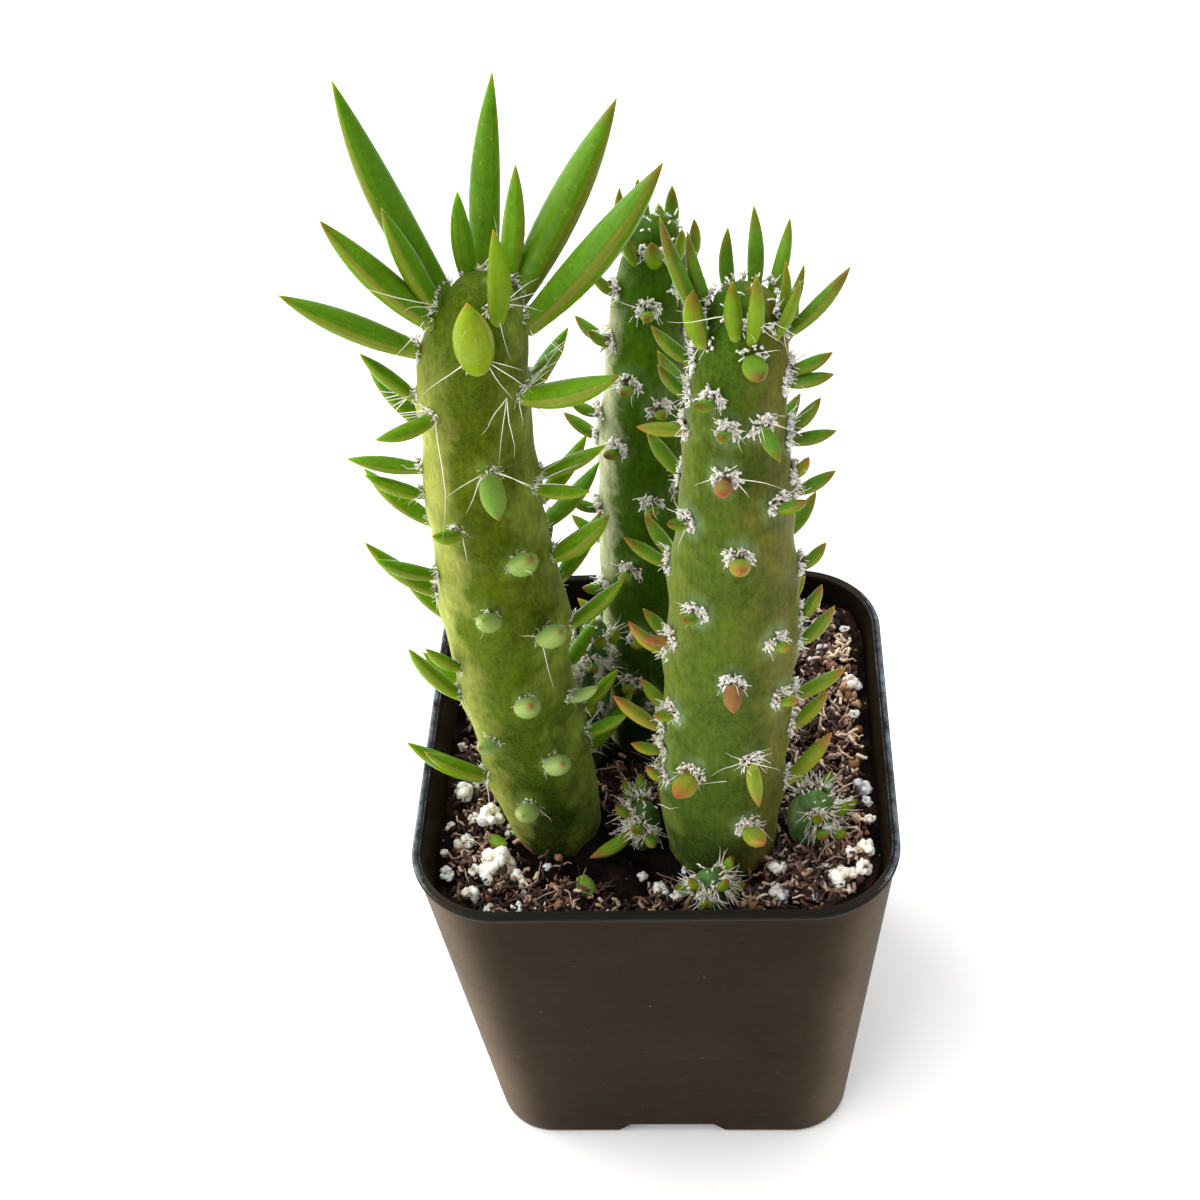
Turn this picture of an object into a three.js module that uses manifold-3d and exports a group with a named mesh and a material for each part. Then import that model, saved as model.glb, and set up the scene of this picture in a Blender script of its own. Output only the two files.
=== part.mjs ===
// Potted Eve's needle cactus: three leafy stems and four young shoots in a square nursery pot.
// Millimetres, +Z up. The origin is the centre of the pot's foot, and the front faces -Y.
// Bearings are degrees anticlockwise from +X, and lifts are degrees above the horizontal.

import * as THREE from 'three';
import Module from 'manifold-3d';
import { mergeVertices } from 'three/addons/utils/BufferGeometryUtils.js';

const wasm = await Module();
wasm.setup();

const TAU = 2 * Math.PI;
const GAP = 0.3; // air between two pieces that touch

// Thin moulded pot, square with round corners, wider at the rim than at the foot.
const POT = {
  height: 54.3,
  footHalf: 23.25,
  rimHalf: 28.2,
  footCorner: 7.3,
  rimCorner: 10.4,
  wall: 0.9,
  floor: 1.6,
  footRound: 0.6,
  lipOut: 0.3,
  lipTall: 0.9,
  cornerSteps: 4,
  notch: { wide: 11.1, tall: 2.2, deep: 4.5, slope: 2.9 },
  drain: { radius: 2.4, offset: 12.5 },
};

// Potting mix: its level falls from the front left corner to the back right one, and its lumps
// are the sum of three waves across x and y, each with a phase. It is banked up against the right
// wall and the back wall.
const SOIL = {
  level: 48.1,
  fall: 0.018,
  lump: 0.35,
  waves: [
    [0.9, 0.4, 0],
    [-0.5, 1.1, 2],
    [0.7, 0.7, 4],
  ],
  banks: [
    { x: 1, y: 0, from: 9, to: 25, rise: 3.2 },
    { x: 0, y: 1, from: 10, to: 24, rise: 1.6 },
  ],
  edgeSteps: 2,
  shares: [0.93, 0.68, 0.44, 0.2],
};

// Rule for a leaf: its width grows with its length, and it curves up from root to tip.
// It is fullest at a share of its length, and narrows from there to its point by a power.
const LEAF = {
  width: 1.2,
  widen: 0.11,
  flat: 0.7,
  curve: 16,
  fullest: 0.42,
  rootGirth: 0.55,
  narrow: 2.1,
  largeFrom: 12,
  smallTo: 7,
  largeRings: [0, 0.42, 0.67, 0.87],
  smallRings: [0, 0.42],
};

// Rule for an areole: a low swelling of the stem under a pad of wool, where a leaf is rooted.
// Where the wool is thin, the leaf has no pad and is rooted a little inside.
const AREOLE = {
  swell: 0.5,
  mean: 0.35,
  fullRadius: 6.5,
  swellUp: 2.1,
  swellAcross: 1.7,
  stand: 0.45,
  above: 0.35,
  tilt: 0.3,
  sink: 1.8,
  sinkShare: 0.6,
  thinWool: 1,
  padShare: 0.42,
  root: 0.75,
  thinRoot: -0.4,
};

// Rule for a spine: where it starts in the wool, and how its way and length are drawn.
const SPINE = {
  radius: 0.26,
  heel: 0.4,
  aside: 0.4,
  inside: 0.3,
  spread: [28, 62],
  raise: [18, 62],
  size: [0.75, 1.25],
};

// How far a leaf of a back rank may stray from its even place.
const STRAY = { height: 1, bearing: 5, lift: 8, length: 0.2 };

// Below the soil a stem narrows to this share of its foot.
const BURIED_SHARE = 0.94;

// Each stem stands on the soil at its foot. line holds height, drift in x and y, and radius.
// leaves holds height, bearing, lift and reach from the wool to the tip, and a width where the
// rule's doesn't fit.
// back fills the side that turns away from the front with ranks of the same kind of leaf.
const STEMS = {
  stem_left: {
    colour: '#7a9432',
    foot: [-12.3, -9.7, 48.7],
    buried: 14,
    line: [
      [0, 0, 0, 5.5],
      [5, -0.5, 0, 6.0],
      [11, -1.1, 0, 6.3],
      [23, -2.3, 0, 6.6],
      [30, -2.5, 0, 6.5],
      [36, -2.6, 0, 6.9],
      [42, -2.8, 0, 6.4],
      [52, -3.1, 0, 6.0],
      [62, -2.8, 0, 5.5],
      [70, -2.2, 0, 5.2],
      [74.5, -1.3, 0, 4.3],
      [77.5, -0.6, 0, 2.9],
    ],
    top: 78.8,
    sides: 10,
    rise: 5.2,
    wool: 0.9,
    spines: { lowFew: 1, topFew: 2, from: 58, short: 3, long: 6.5 },
    leaves: [
      [76, 150, 65, 22.5],
      [75, 184, 53, 14.5, 3.6],
      [71.5, 187, 33, 14.5, 3.2],
      [76, 178, 71, 11.5, 2.9],
      [77, 110, 84, 9],
      [76, 84, 53, 19.7, 3.1],
      [77, 50, 76, 11.5],
      [77.3, 300, 80, 10],
      [72.8, 277, 70, 10, 3.9],
      [75.6, 35, 52, 20.5, 4.2],
      [73.6, 2, 50.5, 21.5, 4.4],
      [66, 188, 52, 7.5],
      [66, 228, 13, 7],
      [57, 188, 18, 7.5],
      [54, 192, 34, 6.5],
      [67, 335, 27, 12, 3.3],
      [66, 20, 34, 4.5],
      [59.6, 285, -20, 5, 2.6],
      [55, 340, 10, 6],
      [55, 2, 26, 7.5],
      [44, 45, 22, 9.5],
      [45, 350, 45, 9, 3],
      [38, 60, 60, 6],
      [34.5, 354, 49, 9.5],
      [52.5, 250, 38, 6],
      [47.9, 301, 44, 5, 3.2],
      [37.2, 310, 44, 5, 3.2],
      [41.1, 267, 44, 4.5, 2.8],
      [40, 189, 52, 10.5],
      [44, 204, 37, 7.5],
      [32, 222, 56, 6.5],
      [26, 206, 64, 10.5],
      [27.9, 286, 44, 5, 3.1],
      [17.7, 297, 44, 5, 3.1],
      [21.3, 246, 37, 3.5, 2.2],
      [10.4, 264, 40, 5, 2.8],
      [25, 335, 42, 5],
      [17, 353, 35, 6],
      [19, 12, 50, 6.5],
      [13, 212, 50, 10.5],
      [11, 200, 49, 12.5],
    ],
    back: { from: 40, to: 160, ranks: 4, low: 9, high: 70, pitch: 13.5, stagger: 8, lift: 44, length: 8 },
  },
  stem_right: {
    colour: '#5f8436',
    foot: [7.8, -12.5, 48.3],
    buried: 14,
    line: [
      [0, 0, 0, 6.6],
      [12, 0.1, 0, 7.3],
      [26, 1.2, 0.2, 7.2],
      [38, 2.0, 0.3, 6.9],
      [50, 2.5, 0.3, 6.2],
      [60, 2.7, 0.3, 5.2],
      [67, 3.2, 0.3, 4.5],
      [73, 3.7, 0.3, 4.0],
      [77, 3.9, 0.3, 2.9],
    ],
    top: 79,
    sides: 10,
    rise: 5.2,
    wool: 1.35,
    spines: { lowFew: 1, topFew: 2, from: 58, short: 2.4, long: 3.6 },
    leaves: [
      [76, 178, 72, 11.5, 2],
      [77, 160, 76, 7.5, 1.7],
      [74.5, 205, 83, 6, 2.6],
      [77, 110, 87, 6.4, 1.5],
      [77, 75, 86, 8.4, 1.6],
      [77.5, 255, 85, 5],
      [76.5, 280, 73, 8.6, 1.6],
      [77.5, 40, 72, 7, 1.6],
      [77, 345, 86, 5.5, 1.4],
      [76, 5, 71, 5.5, 1.4],
      [76, 325, 69, 6.5, 1.5],
      [74.5, 350, 54, 9.5, 2],
      [70, 352, 32, 4.5],
      [69, 345, 22, 4.5],
      [62.5, 1, 53, 4.5],
      [61.5, 354, 18, 4.5],
      [57, 357, 60, 2.5],
      [54.5, 0, 34, 4.5],
      [56, 316, 41, 4.5],
      [44.5, 358, 54, 4],
      [37.5, 356, 67, 5],
      [34, 354, 58, 6.5],
      [26, 353, 42, 7],
      [21, 353, 58, 7],
      [12.5, 350, 61, 10],
      [71, 180, 50, 5.5],
      [67, 180, 56, 4.5],
      [63.5, 190, 14, 4.5],
      [45, 179, 41, 5.5],
      [34, 192, 56, 6],
      [37, 206, 26, 3],
      [22.5, 196, 54, 8],
      [19.5, 202, 38, 4],
      [16, 209, 57, 3],
      [74, 280, 5, 3.5, 2.4],
      [69, 236, 30, 3],
      [66, 257, 30, 2.5],
      [66, 298, -30, 3.5],
      [60.5, 260, 10, 2.5, 1.9],
      [54, 219, 30, 2.5],
      [51, 273, 25, 3, 2.2],
      [43, 236, 30, 2.5],
      [38.5, 308, 30, 2.5],
      [34, 271, -25, 2.8, 2],
      [29.5, 318, 30, 2.5],
      [27, 217, 30, 2.5],
      [21.5, 292, -70, 5.5],
      [19.3, 242, 5, 3.5, 2.8],
      [10.5, 294, 29, 5, 2.4],
    ],
    back: { from: 45, to: 150, ranks: 4, low: 9, high: 70, pitch: 12, stagger: 7, lift: 42, length: 5 },
  },
  stem_back: {
    colour: '#6b8a3a',
    foot: [-1.9, 5.6, 48],
    buried: 14,
    line: [
      [0, 0, 0, 4.9],
      [14, 0.8, 0.1, 5.2],
      [35, 2.2, 0.2, 5.6],
      [47, 2.7, 0.3, 5.3],
      [58, 3.2, 0.3, 4.5],
      [66, 3.9, 0.3, 3.8],
      [71, 4.6, 0.3, 3.2],
      [74, 5.0, 0.3, 2.2],
    ],
    top: 75.6,
    sides: 10,
    rise: 5.2,
    wool: 1.3,
    spines: { lowFew: 1, topFew: 1, from: 50, short: 2.2, long: 3.4 },
    leaves: [
      [73, 170, 88, 6],
      [74, 120, 80, 4.5],
      [73, 60, 84, 4.5],
      [70.5, 10, 84, 4.5],
      [73, 268, 60, 3.5, 1.9],
      [73, 312, 72, 3.5],
      [73, 226, 72, 4],
      [71, 85, 50, 3.5],
      [69, 322, 36, 3],
      [68, 200, 55, 3.5],
      [67, 268, 26, 2.5],
      [62, 205, 50, 3],
      [55, 286, 30, 2.5],
      [58, 250, 26, 2.5],
      [52, 190, 36, 3.5],
      [49.5, 236, 26, 2.5],
      [44, 310, 30, 2.5],
      [42.5, 275, 22, 2.5],
      [39, 196, 34, 3.5],
      [32.5, 250, 24, 2.5],
      [28, 212, 30, 3],
      [22, 262, 24, 2.5],
      [14, 252, 26, 2.5],
      [10, 285, 24, 2.5],
    ],
    back: { from: 345, to: 525, ranks: 4, low: 8, high: 66, pitch: 14, stagger: 8, lift: 38, length: 4 },
  },
  shoot_back: {
    colour: '#66863a',
    foot: [-9.2, 1.2, 48.3],
    buried: 8,
    line: [
      [0, 0, 0, 2.1],
      [8, 0.8, -0.4, 2.5],
      [16, 1.8, -0.9, 2.4],
      [23, 2.6, -1.2, 1.7],
    ],
    top: 24.5,
    sides: 8,
    rise: 4.5,
    wool: 1.3,
    spines: { lowFew: 1, topFew: 1, from: 12, short: 2.2, long: 2.8 },
    leaves: [
      [6, 275, 35, 3.6],
      [9, 330, 40, 3],
      [11, 190, 30, 3.5],
      [13, 275, 25, 2.5],
      [15, 105, 35, 2.6],
      [17, 130, 35, 3],
      [17.5, 225, 30, 2.5],
      [18.5, 310, 35, 2.5],
      [20, 272, 30, 2.2],
      [22.5, 335, 68, 2.6],
      [22.5, 150, 65, 3.2],
      [23, 290, 70, 2.6],
    ],
  },
  shoot_middle: {
    colour: '#7d8f33',
    foot: [-1.4, -12.2, 48.5],
    buried: 6,
    line: [
      [0, 0, 0, 1.7],
      [3, 0, 0, 1.9],
      [5.2, 0, 0, 1.3],
    ],
    top: 6,
    sides: 8,
    rise: 2,
    wool: 1.3,
    spines: { lowFew: 1, topFew: 1, from: 4, short: 2.4, long: 3.2 },
    leaves: [
      [2.6, 222, 6, 6, 1.9],
      [3, 285, 20, 2.6],
      [4.4, 255, 40, 2.6],
      [4.6, 125, 45, 3],
      [5.2, 205, 60, 3],
      [5.2, 95, 60, 3],
    ],
  },
  shoot_front: {
    colour: '#6f9250',
    foot: [6.5, -22.3, 48.8],
    buried: 6,
    line: [
      [0, 0, 0, 1.7],
      [2.4, 0, 0, 1.9],
      [4.6, 0, 0, 1.4],
    ],
    top: 5.6,
    sides: 7,
    rise: 1.6,
    wool: 1.15,
    spines: { lowFew: 1, topFew: 1, from: 3, short: 1.8, long: 2.4, steeper: 27 },
    leaves: [
      [2.8, 352, 40, 2.2],
      [2.6, 188, 40, 2.2],
      [3, 262, 50, 2.2],
      [4.6, 30, 66, 2.4],
      [4.8, 225, 66, 2.6],
      [4.8, 310, 66, 2.6],
    ],
  },
  shoot_right: {
    colour: '#4f8a45',
    foot: [18.4, -12.4, 49.6],
    buried: 7,
    line: [
      [0, 0, 0, 2.6],
      [2.4, 0, 0, 2.9],
      [4.2, 0.2, 0, 2.5],
      [5.2, 0.4, 0, 1.7],
    ],
    top: 6,
    sides: 10,
    rise: 1.9,
    wool: 1.3,
    spines: { lowFew: 1, topFew: 1, from: 4, short: 2.4, long: 3.2 },
    leaves: [
      [2.4, 318, 30, 2.4],
      [3, 10, 34, 2.6],
      [3.6, 285, 30, 2.2],
      [4.2, 60, 45, 2.6],
      [4.4, 340, 55, 2.4],
      [4.8, 120, 55, 2.4],
      [5, 275, 60, 2.4],
    ],
  },
};

// Rule for a perlite grain: how far its corners stand out, how flat and how high it lies.
const GRAIN = { least: 0.84, vary: 0.3, flat: 0.85, stand: 0.18, bed: 0.39 };

// Perlite grains that lie half bedded in the soil: x, y and the size across.
const GRAINS = [
  [-18.9, -17.6, 5.2],
  [-20.3, -10.0, 3.4],
  [-23.4, -12.8, 2.8],
  [-23.9, -6.0, 2.9],
  [-24.9, -18.3, 2.1],
  [-21.9, -20.8, 2.5],
  [-19.4, -22.9, 2.0],
  [-24.2, 8.6, 2.2],
  [14.3, -21.7, 3.2],
  [14.5, -18.0, 2.5],
  [21.9, -20.7, 3.9],
  [24.5, -17.4, 2.6],
  [24.7, -7.6, 2.5],
  [24.3, 9.4, 2.9],
  [21.0, 16.3, 2.2],
  [0.6, -20.4, 2.8],
  [-20.5, 17.8, 3.2],
  [-9.5, 20.0, 2.6],
  [6.5, 18.2, 3.0],
  [12.5, 8.1, 2.4],
];

// Leaves that dropped on the soil, each in a trough that is wider than it by a clearance.
const TROUGH = 0.9;
const DROPPED = {
  dropped_leaf_left: { at: [-18.4, -14.3], bearing: 140, length: 2.6, width: 1.7 },
  dropped_leaf_front: { at: [-8.6, -19.2], bearing: 285, length: 3, width: 2.4 },
};

// A draw between 0 and 1 that is the same in every run for the same number.
function draw(number) {
  const value = Math.sin(number * 12.9898 + 4.1414) * 43758.5453;
  return value - Math.floor(value);
}

function radians(degrees) {
  return (degrees * Math.PI) / 180;
}

// Unit vector at a bearing and a lift.
function heading(bearing, lift) {
  const level = Math.cos(radians(lift));
  const x = level * Math.cos(radians(bearing));
  const y = level * Math.sin(radians(bearing));
  return new THREE.Vector3(x, y, Math.sin(radians(lift)));
}

// A closed surface through rings of equally many points, with a point at each end.
function loft(start, rings, end) {
  const sides = rings[0].length;
  const points = [start, ...rings.flat(), end];
  const lastRing = 1 + (rings.length - 1) * sides;
  const faces = [];
  for (let side = 0; side < sides; side += 1) {
    const next = (side + 1) % sides;
    faces.push(0, 1 + next, 1 + side);
    for (let ring = 1; ring < lastRing; ring += sides) {
      const [a, b] = [ring + side, ring + next];
      faces.push(a, b, b + sides, a, b + sides, a + sides);
    }
    faces.push(lastRing + side, lastRing + next, points.length - 1);
  }
  const geometry = new THREE.BufferGeometry().setFromPoints(points);
  geometry.setIndex(faces);
  return geometry;
}

// The solid inside a closed geometry.
function solidOf(geometry) {
  geometry.deleteAttribute('normal');
  geometry.deleteAttribute('uv');
  const merged = mergeVertices(geometry, 1e-4);
  return new wasm.Manifold(
    new wasm.Mesh({
      numProp: 3,
      vertProperties: new Float32Array(merged.attributes.position.array),
      triVerts: new Uint32Array(merged.index.array),
    }),
  );
}

// One solid from many that overlap: its outer skin, with closed hollows filled and scraps dropped.
function fuse(solids) {
  const whole = solids.reduce((sum, piece) => sum.add(piece));
  return whole.decompose().reduce((best, skin) => (skin.volume() > best.volume() ? skin : best));
}

function meshOf(name, solid, colour, roughness) {
  const shape = solid.getMesh();
  const geometry = new THREE.BufferGeometry();
  geometry.setAttribute('position', new THREE.BufferAttribute(shape.vertProperties, 3));
  geometry.setIndex(new THREE.BufferAttribute(shape.triVerts, 1));
  geometry.computeVertexNormals();
  const material = new THREE.MeshStandardMaterial({ color: colour, roughness, metalness: 0 });
  const mesh = new THREE.Mesh(geometry, material);
  mesh.name = name;
  return mesh;
}

// Ring of a square with round corners, anticlockwise; height is a function of x and y.
function roundedSquare(half, corner, cornerSteps, edgeSteps, height) {
  const ring = [];
  for (let quarter = 0; quarter < 4; quarter += 1) {
    const middle = heading(45 + 90 * quarter, 0).multiplyScalar(Math.SQRT2 * (half - corner));
    for (let step = 0; step <= cornerSteps; step += 1) {
      const turn = 90 * (quarter + step / cornerSteps);
      ring.push(heading(turn, 0).multiplyScalar(corner).add(middle));
    }
    const along = heading(90 * quarter + 180, 0);
    const edge = 2 * (half - corner);
    const from = ring[ring.length - 1];
    for (let step = 1; step < edgeSteps; step += 1) {
      ring.push(from.clone().addScaledVector(along, (edge * step) / edgeSteps));
    }
  }
  for (const point of ring) {
    point.z = height(point.x, point.y);
  }
  return ring;
}

// Half width and corner radius of the pot's outer wall at a height.
function potWall(z) {
  const share = z / POT.height;
  return {
    half: THREE.MathUtils.lerp(POT.footHalf, POT.rimHalf, share),
    corner: THREE.MathUtils.lerp(POT.footCorner, POT.rimCorner, share),
  };
}

function potRing(z, inset, steps) {
  const { half, corner } = potWall(z);
  return roundedSquare(half - inset, corner - inset, POT.cornerSteps, steps, () => z);
}

// The pot: a wall with a rolled lip, a floor with four drain holes, and a notch in each side.
function makePot() {
  const { height, wall, floor, footRound, lipOut, lipTall, notch, drain } = POT;
  const rings = [
    potRing(0, footRound, 1),
    potRing(footRound, 0, 1),
    potRing(height - lipTall - lipOut, 0, 1),
    potRing(height - lipTall, -lipOut, 1),
    potRing(height - lipOut, -lipOut, 1),
    potRing(height, 0, 1),
    potRing(height, wall - lipOut, 1),
    potRing(height - lipOut, wall, 1),
    potRing(floor, wall, 1),
  ];
  const shell = loft(new THREE.Vector3(), rings, new THREE.Vector3(0, 0, floor));
  let pot = solidOf(shell);
  const outline = new THREE.Shape([
    new THREE.Vector2(-notch.wide / 2 - notch.slope, -1),
    new THREE.Vector2(notch.wide / 2 + notch.slope, -1),
    new THREE.Vector2(notch.wide / 2, notch.tall),
    new THREE.Vector2(-notch.wide / 2, notch.tall),
  ]);
  for (let side = 0; side < 4; side += 1) {
    const cutter = new THREE.ExtrudeGeometry(outline, { depth: 2 * notch.deep, bevelEnabled: false });
    cutter.rotateX(Math.PI / 2);
    cutter.translate(0, -POT.footHalf + notch.deep, 0);
    cutter.rotateZ((side * TAU) / 4);
    pot = pot.subtract(solidOf(cutter));
    const hole = new THREE.CylinderGeometry(drain.radius, drain.radius, 3 * floor, 10);
    hole.rotateX(Math.PI / 2);
    hole.rotateZ(TAU / 8);
    hole.translate(drain.offset, 0, 0);
    hole.rotateZ(((side + 0.5) * TAU) / 4);
    pot = pot.subtract(solidOf(hole));
  }
  return pot;
}

// Level of the soil: a gentle fall with low lumps a few millimetres across, and two banks.
function soilHeight(x, y) {
  const lumps = SOIL.waves.reduce((sum, [a, b, phase]) => sum + Math.sin(a * x + b * y + phase), 0);
  const banked = SOIL.banks.reduce((sum, bank) => {
    const along = bank.x * x + bank.y * y;
    return sum + bank.rise * THREE.MathUtils.smoothstep(along, bank.from, bank.to);
  }, 0);
  return SOIL.level - SOIL.fall * (x + y) + SOIL.lump * lumps + banked;
}

// The block of soil that fills the pot, with low lumps on top.
function makeSoil() {
  const inset = POT.wall + GAP;
  const bottom = POT.floor + GAP;
  const rings = [potRing(bottom, inset, SOIL.edgeSteps)];
  const { half, corner } = potWall(SOIL.level - 1.5);
  for (const share of [1, ...SOIL.shares]) {
    const span = (half - inset) * share;
    const round = (corner - inset) * share;
    rings.push(roundedSquare(span, round, POT.cornerSteps, SOIL.edgeSteps, soilHeight));
  }
  const top = new THREE.Vector3(0, 0, soilHeight(0, 0));
  return solidOf(loft(new THREE.Vector3(0, 0, bottom), rings, top));
}

// Smooth value of every column of a stem's line at a height: a cubic through its rows.
function alongLine(line, height) {
  const last = line.length - 2;
  let row = 0;
  while (row < last && height > line[row + 1][0]) {
    row += 1;
  }
  const slope = (at, column) => {
    const low = line[Math.max(at - 1, 0)];
    const high = line[Math.min(at + 1, line.length - 1)];
    return (high[column] - low[column]) / (high[0] - low[0]);
  };
  const [from, to] = [line[row], line[row + 1]];
  const span = to[0] - from[0];
  const t = THREE.MathUtils.clamp((height - from[0]) / span, 0, 1);
  return [1, 2, 3].map((column) => {
    const fromShare = (1 + 2 * t) * (1 - t) ** 2;
    const toShare = t * t * (3 - 2 * t);
    const start = span * t * (1 - t) ** 2 * slope(row, column);
    const end = span * t * t * (t - 1) * slope(row + 1, column);
    return fromShare * from[column] + toShare * to[column] + start + end;
  });
}

// Ranks of leaves round the back, evenly staggered, each moved a little by a seeded draw.
function backLeaves({ from, to, ranks, low, high, pitch, stagger, lift, length }) {
  const leaves = [];
  for (let rank = 0; rank < ranks; rank += 1) {
    const bearing = from + ((to - from) * rank) / (ranks - 1);
    for (let height = low + ((rank * stagger) % pitch); height < high; height += pitch) {
      const stray = (number) => 2 * draw(10 * rank + height + number) - 1;
      leaves.push([
        height + STRAY.height * stray(0),
        bearing + STRAY.bearing * stray(1),
        lift + STRAY.lift * stray(2),
        length * (1 + STRAY.length * stray(3)),
      ]);
    }
  }
  return leaves;
}

// The stem's body: rings round its line, swollen under each areole, and rounded at the top.
function stemBody(stem, leaves) {
  const { line, top, buried, sides, rise } = stem;
  const rings = [];
  const [, , , footRadius] = line[0];
  for (const height of [-buried, -1]) {
    rings.push(stemRing(sides, [0, 0], height, () => BURIED_SHARE * footRadius));
  }
  const highest = line[line.length - 1][0];
  const steps = Math.round(highest / rise);
  for (let step = 0; step <= steps; step += 1) {
    const height = (highest * step) / steps;
    const [x, y, radius] = alongLine(line, height);
    rings.push(
      stemRing(sides, [x, y], height, (bearing) => radius + swelling(leaves, height, bearing, radius)),
    );
  }
  const [x, y] = alongLine(line, highest);
  return loft(new THREE.Vector3(0, 0, -buried), rings, new THREE.Vector3(x, y, top));
}

function stemRing(sides, [x, y], height, radiusAt) {
  const ring = [];
  for (let side = 0; side < sides; side += 1) {
    const bearing = (360 * side) / sides;
    const radius = radiusAt(bearing);
    ring.push(heading(bearing, 0).multiplyScalar(radius).add(new THREE.Vector3(x, y, height)));
  }
  return ring;
}

// The low swellings under the areoles, each a soft oval that is taller than wide. Close
// ones flow together and add little height, and slim stems swell less.
function swelling(leaves, height, bearing, radius) {
  let sum = 0;
  for (const [leafHeight, leafBearing] of leaves) {
    const up = (height - leafHeight + 1) / AREOLE.swellUp;
    const turn = THREE.MathUtils.euclideanModulo(bearing - leafBearing + 180, 360) - 180;
    const across = (radians(turn) * radius) / AREOLE.swellAcross;
    sum += Math.exp((-3 * (up * up + across * across)) / 2);
  }
  const slim = (radius / AREOLE.fullRadius) ** 1.5;
  return AREOLE.swell * slim * (Math.min(Math.cbrt(sum), 1) - AREOLE.mean);
}

// Ring of a leaf or a pad: an oval across a way, flatter above than below.
function ovalRing(middle, bearing, lift, radius, flat, sides) {
  const across = heading(bearing + 90, 0);
  const up = heading(bearing, lift + 90);
  const ring = [];
  for (let side = 0; side < sides; side += 1) {
    const turn = (TAU * (side + 0.5)) / sides;
    const rise = Math.sin(turn) * (Math.sin(turn) > 0 ? flat : (1 + flat) / 2);
    ring.push(
      middle
        .clone()
        .addScaledVector(across, radius * Math.cos(turn))
        .addScaledVector(up, radius * rise),
    );
  }
  return ring;
}

// An awl-shaped leaf that curves up from its root to its point. pad gives the heel that is sunk
// in the stem, and the ring of wool that the leaf grows out of where the wool is thick.
function leafShape(root, bearing, lift, length, width, pad) {
  const large = length > LEAF.largeFrom;
  const sides = large ? 6 : length > LEAF.smallTo ? 5 : 4;
  const shares = large ? LEAF.largeRings : LEAF.smallRings;
  const bend = (share) => lift + LEAF.curve * (share - 0.5);
  const pointAt = (share) => {
    return root.clone().addScaledVector(heading(bearing, bend(share / 2)), share * length);
  };
  const girth = (share) => {
    if (share < LEAF.fullest) {
      const swell = Math.sin((TAU / 4) * (share / LEAF.fullest));
      return LEAF.rootGirth + (1 - LEAF.rootGirth) * swell;
    }
    return 1 - ((share - LEAF.fullest) / (1 - LEAF.fullest)) ** LEAF.narrow;
  };
  const rings = shares.map((share) => {
    const radius = (width / 2) * girth(share);
    return ovalRing(pointAt(share), bearing, bend(share), radius, LEAF.flat, sides);
  });
  if (pad.radius) {
    rings.unshift(ovalRing(pad.middle, bearing, AREOLE.tilt * lift, pad.radius, 1, sides));
  }
  return loft(pad.heel, rings, pointAt(1));
}

// A spine: a three-sided needle from inside the pad of wool to its point.
function spineShape(root, bearing, lift, length) {
  const way = heading(bearing, lift);
  const across = heading(bearing + 90, 0);
  const up = way.clone().cross(across);
  const ring = [];
  for (let side = 0; side < 3; side += 1) {
    const turn = (TAU * side) / 3;
    ring.push(
      root
        .clone()
        .addScaledVector(across, SPINE.radius * Math.cos(turn))
        .addScaledVector(up, SPINE.radius * Math.sin(turn)),
    );
  }
  const heel = root.clone().addScaledVector(way, -SPINE.heel);
  return loft(heel, [ring], root.clone().addScaledVector(way, length));
}

// The spines of one areole, on alternate sides of its leaf.
function spinesOf(stem, height, bearing, index, middle) {
  const { spines, wool } = stem;
  const upper = height > spines.from;
  const count = upper ? spines.topFew : spines.lowFew;
  const reach = upper ? spines.long : spines.short;
  const shapes = [];
  for (let spine = 0; spine < count; spine += 1) {
    const seed = 7 * index + 3 * spine + Math.round(stem.top);
    const side = (spine + index) % 2 ? 1 : -1;
    const spread = side * THREE.MathUtils.lerp(...SPINE.spread, draw(seed));
    const raise = THREE.MathUtils.lerp(...SPINE.raise, draw(seed + 1)) + (spines.steeper ?? 0);
    const size = reach * THREE.MathUtils.lerp(...SPINE.size, draw(seed + 2));
    const start = middle
      .clone()
      .addScaledVector(heading(bearing + 90, 0), side * SPINE.aside * wool)
      .addScaledVector(heading(bearing, 0), -SPINE.inside * wool);
    shapes.push(spineShape(start, bearing + spread, raise, size));
  }
  return shapes;
}

// One stem with everything that grows on it: leaves, wool and spines, joined in one solid.
function makeStem(stem) {
  const leaves = [...stem.leaves, ...(stem.back ? backLeaves(stem.back) : [])];
  const shapes = [stemBody(stem, leaves)];
  const padded = stem.wool > AREOLE.thinWool;
  leaves.forEach(([height, bearing, lift, reach, ownWidth], index) => {
    const [x, y, radius] = alongLine(stem.line, height);
    const out = heading(bearing, 0);
    const skin = new THREE.Vector3(x, y, height).addScaledVector(out, radius);
    const base = skin.clone().addScaledVector(out, AREOLE.stand * stem.wool);
    const width = ownWidth ?? LEAF.width + LEAF.widen * reach;
    const pad = {
      radius: padded ? Math.max(stem.wool, AREOLE.padShare * width) : 0,
      middle: base.clone().add(new THREE.Vector3(0, 0, AREOLE.above)),
      heel: skin.clone().addScaledVector(out, -Math.min(AREOLE.sink, AREOLE.sinkShare * radius)),
    };
    const ahead = padded ? AREOLE.root : AREOLE.thinRoot;
    const root = base.clone().addScaledVector(heading(bearing, lift), ahead);
    shapes.push(leafShape(root, bearing, lift, reach - ahead, width, pad));
    shapes.push(...spinesOf(stem, height, bearing, index, pad.middle));
  });
  return fuse(shapes.map(solidOf));
}

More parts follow.
